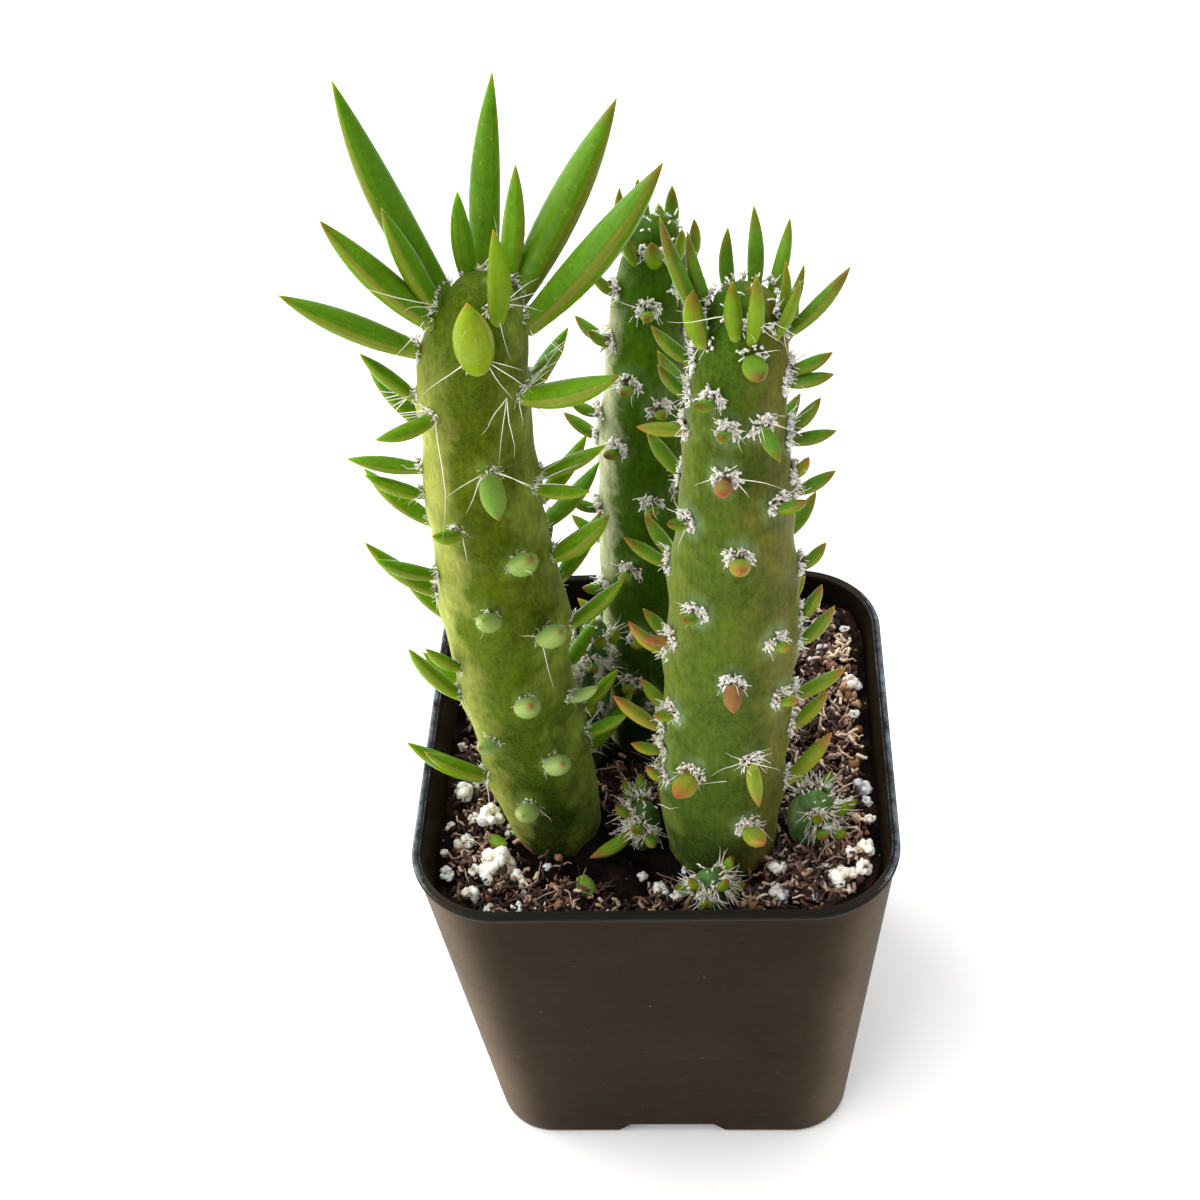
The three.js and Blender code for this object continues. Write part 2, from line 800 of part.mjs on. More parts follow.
// A plain round hole in the soil for a stem's buried foot.
function socketFor(stem) {
  const widest = Math.max(...stem.line.slice(0, 2).map((row) => row[3]));
  const radius = widest + AREOLE.swell + GAP;
  const above = 8;
  const deep = stem.buried + GAP;
  const geometry = new THREE.CylinderGeometry(radius, radius, deep + above, 12);
  geometry.rotateX(Math.PI / 2);
  geometry.translate(stem.foot[0], stem.foot[1], stem.foot[2] + (above - deep) / 2);
  return solidOf(geometry);
}

// A grain of perlite: a lump with uneven corners, by a seeded draw for each corner.
function grainShape(size, seed, margin) {
  const geometry = new THREE.IcosahedronGeometry(size / 2, 0);
  geometry.deleteAttribute('normal');
  geometry.deleteAttribute('uv');
  const lump = mergeVertices(geometry, 1e-4);
  const place = lump.attributes.position;
  const corner = new THREE.Vector3();
  for (let index = 0; index < place.count; index += 1) {
    corner.fromBufferAttribute(place, index);
    corner.multiplyScalar(GRAIN.least + GRAIN.vary * draw(seed + index) + (2 * margin) / size);
    place.setXYZ(index, corner.x, corner.y, GRAIN.flat * corner.z);
  }
  return lump;
}

const cactus = new THREE.Group();
cactus.name = 'potted_eves_needle_cactus';
cactus.add(meshOf('pot', makePot(), '#2b2723', 0.5));

let soil = makeSoil();
for (const [name, stem] of Object.entries(STEMS)) {
  const mesh = meshOf(name, makeStem(stem), stem.colour, 0.55);
  mesh.position.set(...stem.foot);
  cactus.add(mesh);
  soil = soil.subtract(socketFor(stem));
}

GRAINS.forEach(([x, y, size], index) => {
  const seed = 100 + 20 * index;
  const z = soilHeight(x, y) + GRAIN.stand * size;
  const name = `perlite_${String(index + 1).padStart(2, '0')}`;
  const grain = meshOf(name, solidOf(grainShape(size, seed, 0)), '#d9d5cb', 0.9);
  grain.position.set(x, y, z);
  cactus.add(grain);
  soil = soil.subtract(solidOf(grainShape(size, seed, GRAIN.bed)).translate([x, y, z]));
});

for (const [name, { at, bearing, length, width }] of Object.entries(DROPPED)) {
  const root = new THREE.Vector3(at[0], at[1], soilHeight(...at) + 0.5 * width);
  const back = heading(bearing + 180, 0);
  const heel = root.clone().addScaledVector(back, 0.25 * width);
  const shape = leafShape(root, bearing, 0, length, width, { heel });
  cactus.add(meshOf(name, solidOf(shape), '#8aa040', 0.5));
  root.addScaledVector(back, TROUGH / 3);
  heel.addScaledVector(back, TROUGH / 3);
  const trough = leafShape(root, bearing, 0, length + TROUGH, width + TROUGH, { heel });
  soil = soil.subtract(solidOf(trough));
}

cactus.add(meshOf('soil', soil, '#3a2c22', 0.95));

export default cactus;
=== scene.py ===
from functools import partial

import bpy
import numpy as np
from mathutils import Matrix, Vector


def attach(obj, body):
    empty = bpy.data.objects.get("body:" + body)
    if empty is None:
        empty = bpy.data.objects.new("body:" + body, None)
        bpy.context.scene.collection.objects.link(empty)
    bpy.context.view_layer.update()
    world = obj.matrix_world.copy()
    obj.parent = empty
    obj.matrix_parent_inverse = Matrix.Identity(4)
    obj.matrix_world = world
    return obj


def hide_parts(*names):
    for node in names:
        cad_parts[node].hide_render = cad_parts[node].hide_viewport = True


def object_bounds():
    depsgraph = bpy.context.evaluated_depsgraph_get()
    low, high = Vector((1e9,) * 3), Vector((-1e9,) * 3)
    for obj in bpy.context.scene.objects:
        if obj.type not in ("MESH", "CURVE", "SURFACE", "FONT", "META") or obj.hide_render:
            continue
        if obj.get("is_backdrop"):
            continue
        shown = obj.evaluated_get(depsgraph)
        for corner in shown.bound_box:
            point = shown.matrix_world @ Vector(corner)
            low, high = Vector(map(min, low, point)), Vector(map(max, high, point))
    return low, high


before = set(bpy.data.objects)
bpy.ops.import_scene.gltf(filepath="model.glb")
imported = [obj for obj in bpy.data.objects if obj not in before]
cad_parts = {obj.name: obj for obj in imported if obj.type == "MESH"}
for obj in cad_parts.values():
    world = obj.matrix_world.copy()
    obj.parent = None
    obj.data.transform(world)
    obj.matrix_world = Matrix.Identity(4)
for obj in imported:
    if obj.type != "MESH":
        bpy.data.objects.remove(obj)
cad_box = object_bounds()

bl_info = {
    "name": "Potted Eve's Needle Cactus",
    "version": (1, 0, 0),
    "blender": (4, 5, 0),
    "location": "View3D > Sidebar > Cactus",
    "description": "Dresses a potted cactus with its skin, leaves, wool, spines, soil and pot",
    "category": "Add Mesh",
}

# Tables are in millimetres and degrees. Bearings turn anticlockwise from +X, lifts rise from
# the horizontal, and the origin is the centre of the pot's foot.
MM = 0.001
BODY = "root"


def linear(hex_colour):
    """Linear colour with alpha of an sRGB hex colour."""
    parts = np.array([int(hex_colour[i : i + 2], 16) for i in (1, 3, 5)]) / 255
    curve = np.where(parts <= 0.04045, parts / 12.92, ((parts + 0.055) / 1.055) ** 2.4)
    return (*(float(part) for part in curve), 1.0)


# The nursery pot, square with round corners: half widths and corner radii at foot and rim.
POT = dict(
    height=54.3, foot_half=23.25, rim_half=28.2, foot_corner=7.3, rim_corner=10.4, wall=0.9,
    floor=1.6, notch_wide=11.1, notch_slope=2.9, notch_tall=2.2, notch_deep=4.5, drain_radius=2.4,
    drain_offset=12.5,
)

# The pot's section from the foot's edge over the lip and down to the floor: height, inset.
POT_SECTION = (
    (0, 0.6), (0.08, 0.33), (0.24, 0.14), (0.45, 0.03), (0.75, 0), (4, 0), (9, 0), (16, 0),
    (24, 0), (32, 0), (40, 0), (46, 0), (50, 0), (52.4, 0), (52.95, 0), (53.12, -0.03),
    (53.26, -0.12), (53.38, -0.22), (53.52, -0.28), (53.75, -0.3), (53.98, -0.28), (54.15, -0.2),
    (54.26, -0.08), (54.3, 0.06), (54.27, 0.18), (54.23, 0.3), (54.23, 0.4), (54.28, 0.52),
    (54.28, 0.64), (54.2, 0.76), (54.06, 0.85), (53.85, 0.9), (53.3, 0.9), (50, 0.9), (46, 0.9),
    (36, 0.9), (24, 0.9), (12, 0.9), (4, 0.9), (2.4, 1.0), (1.85, 1.35), (1.6, 1.9),
)

# The top of the potting mix falls from the front left to the back right, with three waves.
# It is banked up against the right wall and the back wall: x, y, from, to and rise.
SOIL = dict(
    level=48.1,
    fall=0.018,
    lump=0.35,
    waves=((0.9, 0.4, 0), (-0.5, 1.1, 2), (0.7, 0.7, 4)),
    banks=((1, 0, 9, 25, 3.2), (0, 1, 10, 24, 1.6)),
)

# Each stem stands on the soil at its foot. wool is the thickness of its pads. ripe is how far its
# lowest leaves have turned. spines gives how many an upper and a lower areole has, how long they
# are, and the share that is dark. line holds height, drift in x and y, and radius. leaves holds
# height, bearing, lift and reach, then a width (0 for the rule's) and ripeness. back is a rank
# rule: from, to, ranks, low, high, pitch, stagger, lift and length.
STEMS = {
    "stem_left": dict(
        foot=(-12.3, -9.7, 48.7),
        top=78.8,
        wool=0.9,
        ripe=0.12,
        spines=(6, 2, 6.5, 3.0, 0.05),
        line=(
            (0, 0, 0, 5.5), (5, -0.5, 0, 6), (11, -1.1, 0, 6.3), (23, -2.3, 0, 6.6),
            (30, -2.5, 0, 6.5), (36, -2.6, 0, 6.9), (42, -2.8, 0, 6.4), (52, -3.1, 0, 6),
            (62, -2.8, 0, 5.5), (70, -2.2, 0, 5.2), (74.5, -1.3, 0, 4.3), (77.5, -0.6, 0, 2.9),
        ),
        leaves=(
            (76, 150, 65, 22.5), (75, 184, 53, 14.5, 3.6), (71.5, 187, 33, 14.5, 3.2),
            (76, 178, 71, 11.5, 2.9), (77, 110, 84, 9), (76, 84, 53, 19.7, 3.1),
            (77, 50, 76, 11.5), (77.3, 300, 80, 10, 0, 0.15), (72.8, 277, 70, 10, 3.9, 0.32),
            (75.6, 35, 52, 20.5, 4.2), (73.6, 2, 50.5, 21.5, 4.4), (66, 188, 52, 7.5),
            (66, 228, 13, 7), (57, 188, 18, 7.5), (54, 192, 34, 6.5), (67, 335, 27, 12, 3.3),
            (66, 20, 34, 4.5), (59.6, 285, -20, 5, 2.6), (55, 340, 10, 6), (55, 2, 26, 7.5),
            (44, 45, 22, 9.5), (45, 350, 45, 9, 3), (38, 60, 60, 6), (34.5, 354, 49, 9.5),
            (52.5, 250, 38, 6), (47.9, 301, 44, 5, 3.2), (37.2, 310, 44, 5, 3.2),
            (41.1, 267, 44, 4.5, 2.8), (40, 189, 52, 10.5), (44, 204, 37, 7.5), (32, 222, 56, 6.5),
            (26, 206, 64, 10.5), (27.9, 286, 44, 5, 3.1), (17.7, 297, 44, 5, 3.1),
            (21.3, 246, 37, 3.5, 2.2), (10.4, 264, 40, 5, 2.8), (25, 335, 42, 5), (17, 353, 35, 6),
            (19, 12, 50, 6.5), (13, 212, 50, 10.5), (11, 200, 49, 12.5),
        ),
        back=(40, 160, 4, 9, 70, 13.5, 8, 44, 8),
    ),
    "stem_right": dict(
        foot=(7.8, -12.5, 48.3),
        top=79,
        wool=1.35,
        ripe=0.5,
        spines=(4, 3, 2.6, 2.0, 0.3),
        line=(
            (0, 0, 0, 6.6), (12, 0.1, 0, 7.3), (26, 1.2, 0.2, 7.2), (38, 2, 0.3, 6.9),
            (50, 2.5, 0.3, 6.2), (60, 2.7, 0.3, 5.2), (67, 3.2, 0.3, 4.5), (73, 3.7, 0.3, 4),
            (77, 3.9, 0.3, 2.9),
        ),
        leaves=(
            (76, 178, 72, 11.5, 2), (77, 160, 76, 7.5, 1.7), (74.5, 205, 83, 6, 2.6),
            (77, 110, 87, 6.4, 1.5), (77, 75, 86, 8.4, 1.6), (77.5, 255, 85, 5),
            (76.5, 280, 73, 8.6, 1.6), (77.5, 40, 72, 7, 1.6), (77, 345, 86, 5.5, 1.4),
            (76, 5, 71, 5.5, 1.4), (76, 325, 69, 6.5, 1.5), (74.5, 350, 54, 9.5, 2),
            (70, 352, 32, 4.5), (69, 345, 22, 4.5), (62.5, 1, 53, 4.5), (61.5, 354, 18, 4.5),
            (57, 357, 60, 2.5, 0, 0.5), (54.5, 0, 34, 4.5), (56, 316, 41, 4.5), (44.5, 358, 54, 4),
            (37.5, 356, 67, 5), (34, 354, 58, 6.5), (26, 353, 42, 7), (21, 353, 58, 7),
            (12.5, 350, 61, 10), (71, 180, 50, 5.5), (67, 180, 56, 4.5),
            (63.5, 190, 14, 4.5, 0, 0.5), (45, 179, 41, 5.5), (34, 192, 56, 6, 0, 0.65),
            (37, 206, 26, 3, 0, 0.85), (22.5, 196, 54, 8, 0, 0.6), (19.5, 202, 38, 4),
            (16, 209, 57, 3), (74, 280, 5, 3.5, 2.4), (69, 236, 30, 3), (66, 257, 30, 2.5),
            (66, 298, -30, 3.5), (60.5, 260, 10, 2.5, 1.9, 0.95), (54, 219, 30, 2.5),
            (51, 273, 25, 3, 2.2, 0.6), (43, 236, 30, 2.5), (38.5, 308, 30, 2.5),
            (34, 271, -25, 2.8, 2, 0.95), (29.5, 318, 30, 2.5), (27, 217, 30, 2.5),
            (21.5, 292, -70, 5.5, 0, 0.55), (19.3, 242, 5, 3.5, 2.8, 0.6),
            (10.5, 294, 29, 5, 2.4, 0.5),
        ),
        back=(45, 150, 4, 9, 70, 12, 7, 42, 5),
    ),
    "stem_back": dict(
        foot=(-1.9, 5.6, 48),
        top=75.6,
        wool=1.3,
        ripe=0.15,
        spines=(4, 3, 2.6, 2.0, 0.2),
        line=(
            (0, 0, 0, 4.9), (14, 0.8, 0.1, 5.2), (35, 2.2, 0.2, 5.6), (47, 2.7, 0.3, 5.3),
            (58, 3.2, 0.3, 4.5), (66, 3.9, 0.3, 3.8), (71, 4.6, 0.3, 3.2), (74, 5, 0.3, 2.2),
        ),
        leaves=(
            (73, 170, 88, 6), (74, 120, 80, 4.5), (73, 60, 84, 4.5), (70.5, 10, 84, 4.5),
            (73, 268, 60, 3.5, 1.9), (73, 312, 72, 3.5), (73, 226, 72, 4), (71, 85, 50, 3.5),
            (69, 322, 36, 3), (68, 200, 55, 3.5), (67, 268, 26, 2.5), (62, 205, 50, 3),
            (55, 286, 30, 2.5), (58, 250, 26, 2.5), (52, 190, 36, 3.5), (49.5, 236, 26, 2.5),
            (44, 310, 30, 2.5), (42.5, 275, 22, 2.5), (39, 196, 34, 3.5), (32.5, 250, 24, 2.5),
            (28, 212, 30, 3), (22, 262, 24, 2.5), (14, 252, 26, 2.5), (10, 285, 24, 2.5),
        ),
        back=(345, 525, 4, 8, 66, 14, 8, 38, 4),
    ),
    "shoot_back": dict(
        foot=(-9.2, 1.2, 48.3),
        top=24.5,
        wool=1.3,
        ripe=0.0,
        spines=(4, 3, 2.4, 2.0, 0.1),
        line=(
            (0, 0, 0, 2.1), (8, 0.8, -0.4, 2.5), (16, 1.8, -0.9, 2.4), (23, 2.6, -1.2, 1.7),
        ),
        leaves=(
            (6, 275, 35, 3.6), (9, 330, 40, 3), (11, 190, 30, 3.5), (13, 275, 25, 2.5),
            (15, 105, 35, 2.6), (17, 130, 35, 3), (17.5, 225, 30, 2.5), (18.5, 310, 35, 2.5),
            (20, 272, 30, 2.2), (22.5, 335, 68, 2.6), (22.5, 150, 65, 3.2), (23, 290, 70, 2.6),
        ),
    ),
    "shoot_middle": dict(
        foot=(-1.4, -12.2, 48.5),
        top=6,
        wool=1.3,
        ripe=0.1,
        spines=(5, 4, 3.0, 2.4, 0.0),
        line=(
            (0, 0, 0, 1.7), (3, 0, 0, 1.9), (5.2, 0, 0, 1.3),
        ),
        leaves=(
            (2.6, 222, 6, 6, 1.9, 0.22), (3, 285, 20, 2.6), (4.4, 255, 40, 2.6), (4.6, 125, 45, 3),
            (5.2, 205, 60, 3), (5.2, 95, 60, 3),
        ),
    ),
    "shoot_front": dict(
        foot=(6.5, -22.3, 48.8),
        top=5.6,
        wool=1.15,
        ripe=0.0,
        spines=(5, 4, 2.2, 1.8, 0.0),
        line=(
            (0, 0, 0, 1.7), (2.4, 0, 0, 1.9), (4.6, 0, 0, 1.4),
        ),
        leaves=(
            (2.8, 352, 40, 2.2), (2.6, 188, 40, 2.2), (3, 262, 50, 2.2), (4.6, 30, 66, 2.4),
            (4.8, 225, 66, 2.6), (4.8, 310, 66, 2.6),
        ),
    ),
    "shoot_right": dict(
        foot=(18.4, -12.4, 49.6),
        top=6,
        wool=1.3,
        ripe=0.0,
        spines=(5, 4, 3.0, 2.4, 0.0),
        line=(
            (0, 0, 0, 2.6), (2.4, 0, 0, 2.9), (4.2, 0.2, 0, 2.5), (5.2, 0.4, 0, 1.7),
        ),
        leaves=(
            (2.4, 318, 30, 2.4), (3, 10, 34, 2.6), (3.6, 285, 30, 2.2), (4.2, 60, 45, 2.6),
            (4.4, 340, 55, 2.4), (4.8, 120, 55, 2.4), (5, 275, 60, 2.4),
        ),
    ),
}

# A leaf's rule: width by length, curve from root to tip, and the share where it is fullest.
LEAF = dict(
    width=1.2, widen=0.11, flat=0.7, curve=16, fullest=0.42, root=0.6, narrow=2.1, sides=14,
)

# An areole's rule: the low swelling of the skin under it, and how far its wool stands out.
AREOLE = dict(swell=0.55, swell_up=2.1, swell_across=1.7, stand=0.45)

# How far a leaf of a back rank may stray from its even place.
STRAY = dict(height=1, bearing=5, lift=8, length=0.2)

# Perlite: x, y, size and how blue it looks. The first twenty stand for the frame's grains.
GRAINS = (
    (-18.9, -17.6, 5.2, 0), (-20.3, -10.0, 3.4, 0), (-23.4, -12.8, 2.8, 0.2),
    (-23.9, -6.0, 2.9, 0.4), (-24.9, -18.3, 2.1, 0.9), (-21.9, -20.8, 2.5, 0),
    (-19.4, -22.9, 2.0, 0.5), (-24.2, 8.6, 2.2, 0.4), (14.3, -21.7, 3.2, 0.9),
    (14.5, -18.0, 2.5, 0), (21.9, -20.7, 3.9, 0), (24.5, -17.4, 2.6, 0), (24.7, -7.6, 2.5, 1.0),
    (24.3, 9.4, 2.9, 0.3), (21.0, 16.3, 2.2, 0.6), (0.6, -20.4, 2.8, 0.8), (-20.5, 17.8, 3.2, 0.2),
    (-9.5, 20.0, 2.6, 0.2), (6.5, 18.2, 3.0, 0.5), (12.5, 8.1, 2.4, 0.4),
)
SMALL_GRAINS = (
    (-22.6, -4.0, 2.2, 0.2), (-23.6, -20.6, 1.2, 0), (-25.6, -14.9, 1.3, 0.2),
    (-16.0, -23.7, 1.6, 0.6), (-12.9, -17.5, 1.2, 0.9), (-25.3, -10.4, 1.7, 0.1),
    (-25.0, 2.8, 1.5, 0.5), (24.0, 19.6, 1.6, 0.2), (19.7, 14.9, 1.6, 0.6), (24.2, 0.5, 1.5, 0.4),
    (18.6, -23.2, 1.4, 0.7), (-1.6, -18.8, 1.7, 0.8), (20.2, -6.0, 1.7, 0.2),
    (10.2, -24.2, 1.2, 0.6), (-14.6, 16.2, 1.6, 0.3), (3.0, 24.0, 1.4, 0.2), (15.2, 1.2, 1.3, 0.4),
    (-5.2, -24.4, 1.2, 0.7), (22.3, 5.0, 1.4, 0.5), (17.6, -1.6, 1.1, 0.4),
    (25.4, -12.4, 1.5, 0.1), (-15.6, -20.6, 0.9, 0.6), (-10.2, -23.4, 0.8, 0.5),
    (3.4, -17.6, 1.0, 0.6), (-16.4, -18.9, 2.3, 0), (-21.6, -17.6, 1.8, 0.1),
    (-18.0, -11.0, 2.1, 0), (2.6, -21.6, 2.0, 0.6), (24.1, -20.0, 2.4, 0), (22.9, -17.9, 1.9, 0.2),
    (19.9, -19.0, 1.8, 0.1), (13.0, -20.0, 1.5, 0.6), (25.2, -9.6, 1.6, 0.6),
    (-22.4, -9.8, 1.7, 0), (22.6, 11.6, 2.0, 0.5), (20.6, 19.4, 2.0, 0.3), (16.8, 12.0, 1.7, 0.4),
    (24.6, 5.0, 1.6, 0.3),
)

# Heaps of pale coir: x, y and spread along y.
HEAPS = (
    (23.0, -1.6, 3.2), (23.8, 8.4, 2.6), (23.6, 14.6, 2.0), (24.6, -12.6, 1.4), (17.4, 5.2, 1.8),
)

# The few long spines that the picture shows one by one, by stem: places of root and point.
LONG_SPINES = dict(
    stem_left=(
        ((-9.4, -13.2, 73.6), (-10.0, -14.4, 66.8)),
        ((-11.1, -14.0, 116.9), (-12.2, -17.5, 111.4)),
        ((-11.1, -14.0, 116.9), (-10.6, -17.5, 112.3)),
        ((-11.1, -14.0, 116.9), (-13.3, -17.5, 115.2)),
    ),
    stem_right=(
        ((0.8, -17.6, 61.0), (3.4, -20.6, 63.9)), ((9.9, -19.4, 67.0), (5.4, -20.8, 68.1)),
        ((10.8, -19.4, 70.2), (13.5, -22.0, 75.1)), ((10.8, -19.4, 70.2), (8.4, -22.0, 74.8)),
        ((10.8, -19.4, 70.2), (14.6, -22.2, 71.6)), ((10.8, -19.4, 70.2), (7.0, -22.0, 71.0)),
    ),
)

# The two leaves that dropped on the soil: place, bearing, lift, length and width.
DROPPED = (
    (-18.4, -14.3, 140, 0, 2.6, 1.7), (-8.6, -19.2, 285, 0, 3.0, 2.4),
)

# The shares of a leaf's length at which its rings are.
LEAF_SHARES = (0, 0.05, 0.11, 0.19, 0.28, 0.37, 0.47, 0.57, 0.67, 0.76, 0.84, 0.91, 0.96)

# How far a stem's skin reaches below the soil, and how deep a leaf is rooted in its stem.
FOOT_DEPTH = 4
ROOT_DEPTH = 0.35

# The height of a perlite grain by its width.
GRAIN_FLAT = 0.88

# The turn from one place on a stem's dome to the next that spreads them evenly.
GOLDEN_ANGLE = 137.5

# The moist hollow in front of the stems, where the soil is also painted dark as shade: its
# middle and its width in x and y.
HOLLOW = (-4, -17, 7, 6)

# The lights in metres: place and size. They face the middle of the plant.
LIGHTS = dict(
    window=((-0.55, 0.22, 0.4), 0.8),
    fill=((-0.42, -0.36, 0.34), 0.5),
    overhead=((0.15, 0.2, 0.9), 1.3),
)
AIM = (0, 0, 0.08)

# The camera: its ways to the right, up and back, and its place in millimetres.
CAMERA = (
    (0.99688, 0.03979, -0.06818), (0.02178, 0.69153, 0.72202), (0.07588, -0.72125, 0.68850),
    (11.151, -158.037, 227.428),
)


def colour_setting(name, description, colour):
    """A colour to change, with an sRGB hex value as its default."""
    return bpy.props.FloatVectorProperty(
        name=name, description=description, default=linear(colour), subtype="COLOR", size=4,
        min=0, max=1,
    )


def count_setting(name, description, default, least=0):
    return bpy.props.IntProperty(name=name, description=description, default=default, min=least)


def length_setting(name, description, default):
    """A length to change, with its default in millimetres."""
    return bpy.props.FloatProperty(
        name=name, description=description, default=default * MM, unit="LENGTH", precision=5
    )


def power_setting(name, description, default):
    return bpy.props.FloatProperty(
        name=name, description=description, default=default, subtype="POWER", unit="POWER", min=0
    )


class PotSettings(bpy.types.PropertyGroup):
    wall: colour_setting("Wall", "Colour of the moulded wall", "#1f1608")
    dust: colour_setting("Dust", "Colour of the dust and scuffs on the wall", "#2f2315")
    height: length_setting("Height", "Height of the pot", POT["height"])
    corner_steps: count_setting("Corner Steps", "Faces round each corner", 20, 4)


class SoilSettings(bpy.types.PropertyGroup):
    dark: colour_setting("Moist Peat", "Colour of the peat in the hollows", "#0d0705")
    light: colour_setting("Dry Peat", "Colour of the crumbs on top", "#3a241a")
    clod: length_setting("Clod Height", "Height of the clods", 0.55)
    fibres: count_setting("Fibres", "Long coir fibres on the soil", 560)
    flakes: count_setting("Flakes", "Short curled flakes of coir on the soil", 3200)
    chips: count_setting("Bark Chips", "Chips of bark on the soil", 1200)


class PlantSettings(bpy.types.PropertyGroup):
    sides: count_setting("Sides", "Faces round a stem", 112, 24)
    ring: length_setting("Ring Height", "Height of one ring of a stem's skin", 0.6)
    leaf_green: colour_setting("Leaf", "Colour of a fresh leaf", "#497206")
    # The bloom colour also paints a reflection of the sky on a leaf's upper side.
    leaf_bloom_and_reflection: colour_setting("Bloom", "Colour of the wax bloom on a leaf", "#709a3a")


class WoolSettings(bpy.types.PropertyGroup):
    curls: count_setting("Curls", "Short curls on a woolly areole", 56)
    hairs: count_setting("Hairs", "Fine hairs on a woolly areole", 14)
    wool: colour_setting("Wool", "Colour of fresh wool", "#f8f2e4")


class StageSettings(bpy.types.PropertyGroup):
    floor: colour_setting("Floor", "Colour of the floor", "#fbfbfa")
    window: power_setting("Window", "Power of the window light", 6.5)
    fill: power_setting("Fill", "Power of the fill light", 2.6)
    overhead: power_setting("Overhead", "Power of the overhead light", 9)


def circle(turn):
    """Points of the unit circle at angles in radians: cosine and sine."""
    return np.stack([np.cos(turn), np.sin(turn)], axis=-1)


def around(sides, start=0.0):
    """Evenly spaced angles round a circle, from a share of one step."""
    return 2 * np.pi * (np.arange(sides) + start) / sides


def heading(bearing, lift):
    """Unit vectors at bearings and lifts in degrees: level part times the bearing's circle."""
    bearing, lift = np.radians(bearing), np.radians(lift)
    level = np.cos(lift)
    parts = np.broadcast_arrays(level * np.cos(bearing), level * np.sin(bearing), np.sin(lift))
    return np.stack(parts, axis=-1)


def globe(levels, sides):
    """Unit vectors in level rings from below to above, without the two poles."""
    fall, turn = np.pi * (np.arange(levels) + 1) / (levels + 1), around(sides)
    level = np.sin(fall)[:, None]
    parts = [level * np.cos(turn), level * np.sin(turn), -np.cos(fall)[:, None] + 0 * turn]
    return np.stack(parts, axis=-1)


def unit(vectors):
    return vectors / np.linalg.norm(vectors, axis=-1, keepdims=True)


def bell(x, y, mid_x, mid_y, wide_x, wide_y):
    """1 in the middle, falling like a bell curve of its own width in x and in y."""
    return np.exp(-(((x - mid_x) / wide_x) ** 2) - ((y - mid_y) / wide_y) ** 2)


def smooth(share):
    """A smooth step from 0 to 1."""
    return share * share * (3 - 2 * share)


def along_line(rows, heights):
    """Drift in x and y and radius at heights: a cubic through the rows, sloped as neighbours."""
    rows = np.array(rows, float)
    height, columns = rows[:, 0], rows[:, 1:]
    before = np.maximum(np.arange(len(rows)) - 1, 0)
    after = np.minimum(np.arange(len(rows)) + 1, len(rows) - 1)
    slope = (columns[after] - columns[before]) / (height[after] - height[before])[:, None]
    row = np.clip(np.searchsorted(height, heights, side="right") - 1, 0, len(rows) - 2)
    span = (height[row + 1] - height[row])[:, None]
    t = np.clip((np.asarray(heights)[:, None] - height[row][:, None]) / span, 0, 1)
    return (
        (1 + 2 * t) * (1 - t) ** 2 * columns[row]
        + smooth(t) * columns[row + 1]
        + span * t * (1 - t) ** 2 * slope[row]
        + span * t * t * (t - 1) * slope[row + 1]
    )


def lattice_noise(x, y, seed):
    """Smooth noise from -1 to 1: seeded values on a unit lattice, joined by smooth steps."""
    table = np.random.default_rng(seed).uniform(-1, 1, (64, 64))
    low_x, low_y = np.floor(x).astype(int), np.floor(y).astype(int)
    tx, ty = smooth(x - low_x), smooth(y - low_y)
    value = lambda i, j: table[(low_x + i) % 64, (low_y + j) % 64]
    near = value(0, 0) * (1 - tx) + value(1, 0) * tx
    far = value(0, 1) * (1 - tx) + value(1, 1) * tx
    return near * (1 - ty) + far * ty


def closed_surfaces(start, rings, end, **values):
    """Points, quads, caps and values of closed surfaces: each is a point, rings and a point.

    The rings run anticlockwise seen from the end point, so the faces point outwards. A value is
    one number for each surface, or three parts: at the start, on the rings and at the end.
    """
    count, levels, sides, _ = rings.shape
    size = levels * sides
    points = np.concatenate([start[:, None], rings.reshape(count, size, 3), end[:, None]], axis=1)
    side = np.arange(sides)
    following = (side + 1) % sides
    level = 1 + sides * np.arange(levels - 1)[:, None]
    a, b = level + side, level + following
    quads = np.stack([a, b, b + sides, a + sides], axis=-1).reshape(-1, 4)
    last = 1 + size - sides
    below = np.stack([0 * side, 1 + following, 1 + side], axis=-1)
    above = np.stack([last + side, last + following, 0 * side + last + sides], axis=-1)
    offset = (size + 2) * np.arange(count)[:, None, None]
    faces = [
        (part + offset).reshape(-1, part.shape[1])
        for part in (quads, np.concatenate([below, above]))
    ]
    spread = {}
    for name, value in values.items():
        if not isinstance(value, tuple):
            value = (value, value[:, None, None], value)
        column = np.empty((count, size + 2))
        column[:, 0], column[:, -1] = value[0], value[2]
        column[:, 1:-1] = np.broadcast_to(value[1], (count, levels, sides)).reshape(count, size)
        spread[name] = column.ravel()
    return points.reshape(-1, 3), *faces, spread


def joined(surfaces):
    """Several surfaces as one."""
    points, quads, caps, values = zip(*surfaces)
    offset = np.cumsum([0] + [len(part) for part in points[:-1]])
    faces = [np.concatenate([a + b for a, b in zip(part, offset)]) for part in (quads, caps)]
    spread = {name: np.concatenate([part[name] for part in values]) for name in values[0]}
    return np.concatenate(points), *faces, spread


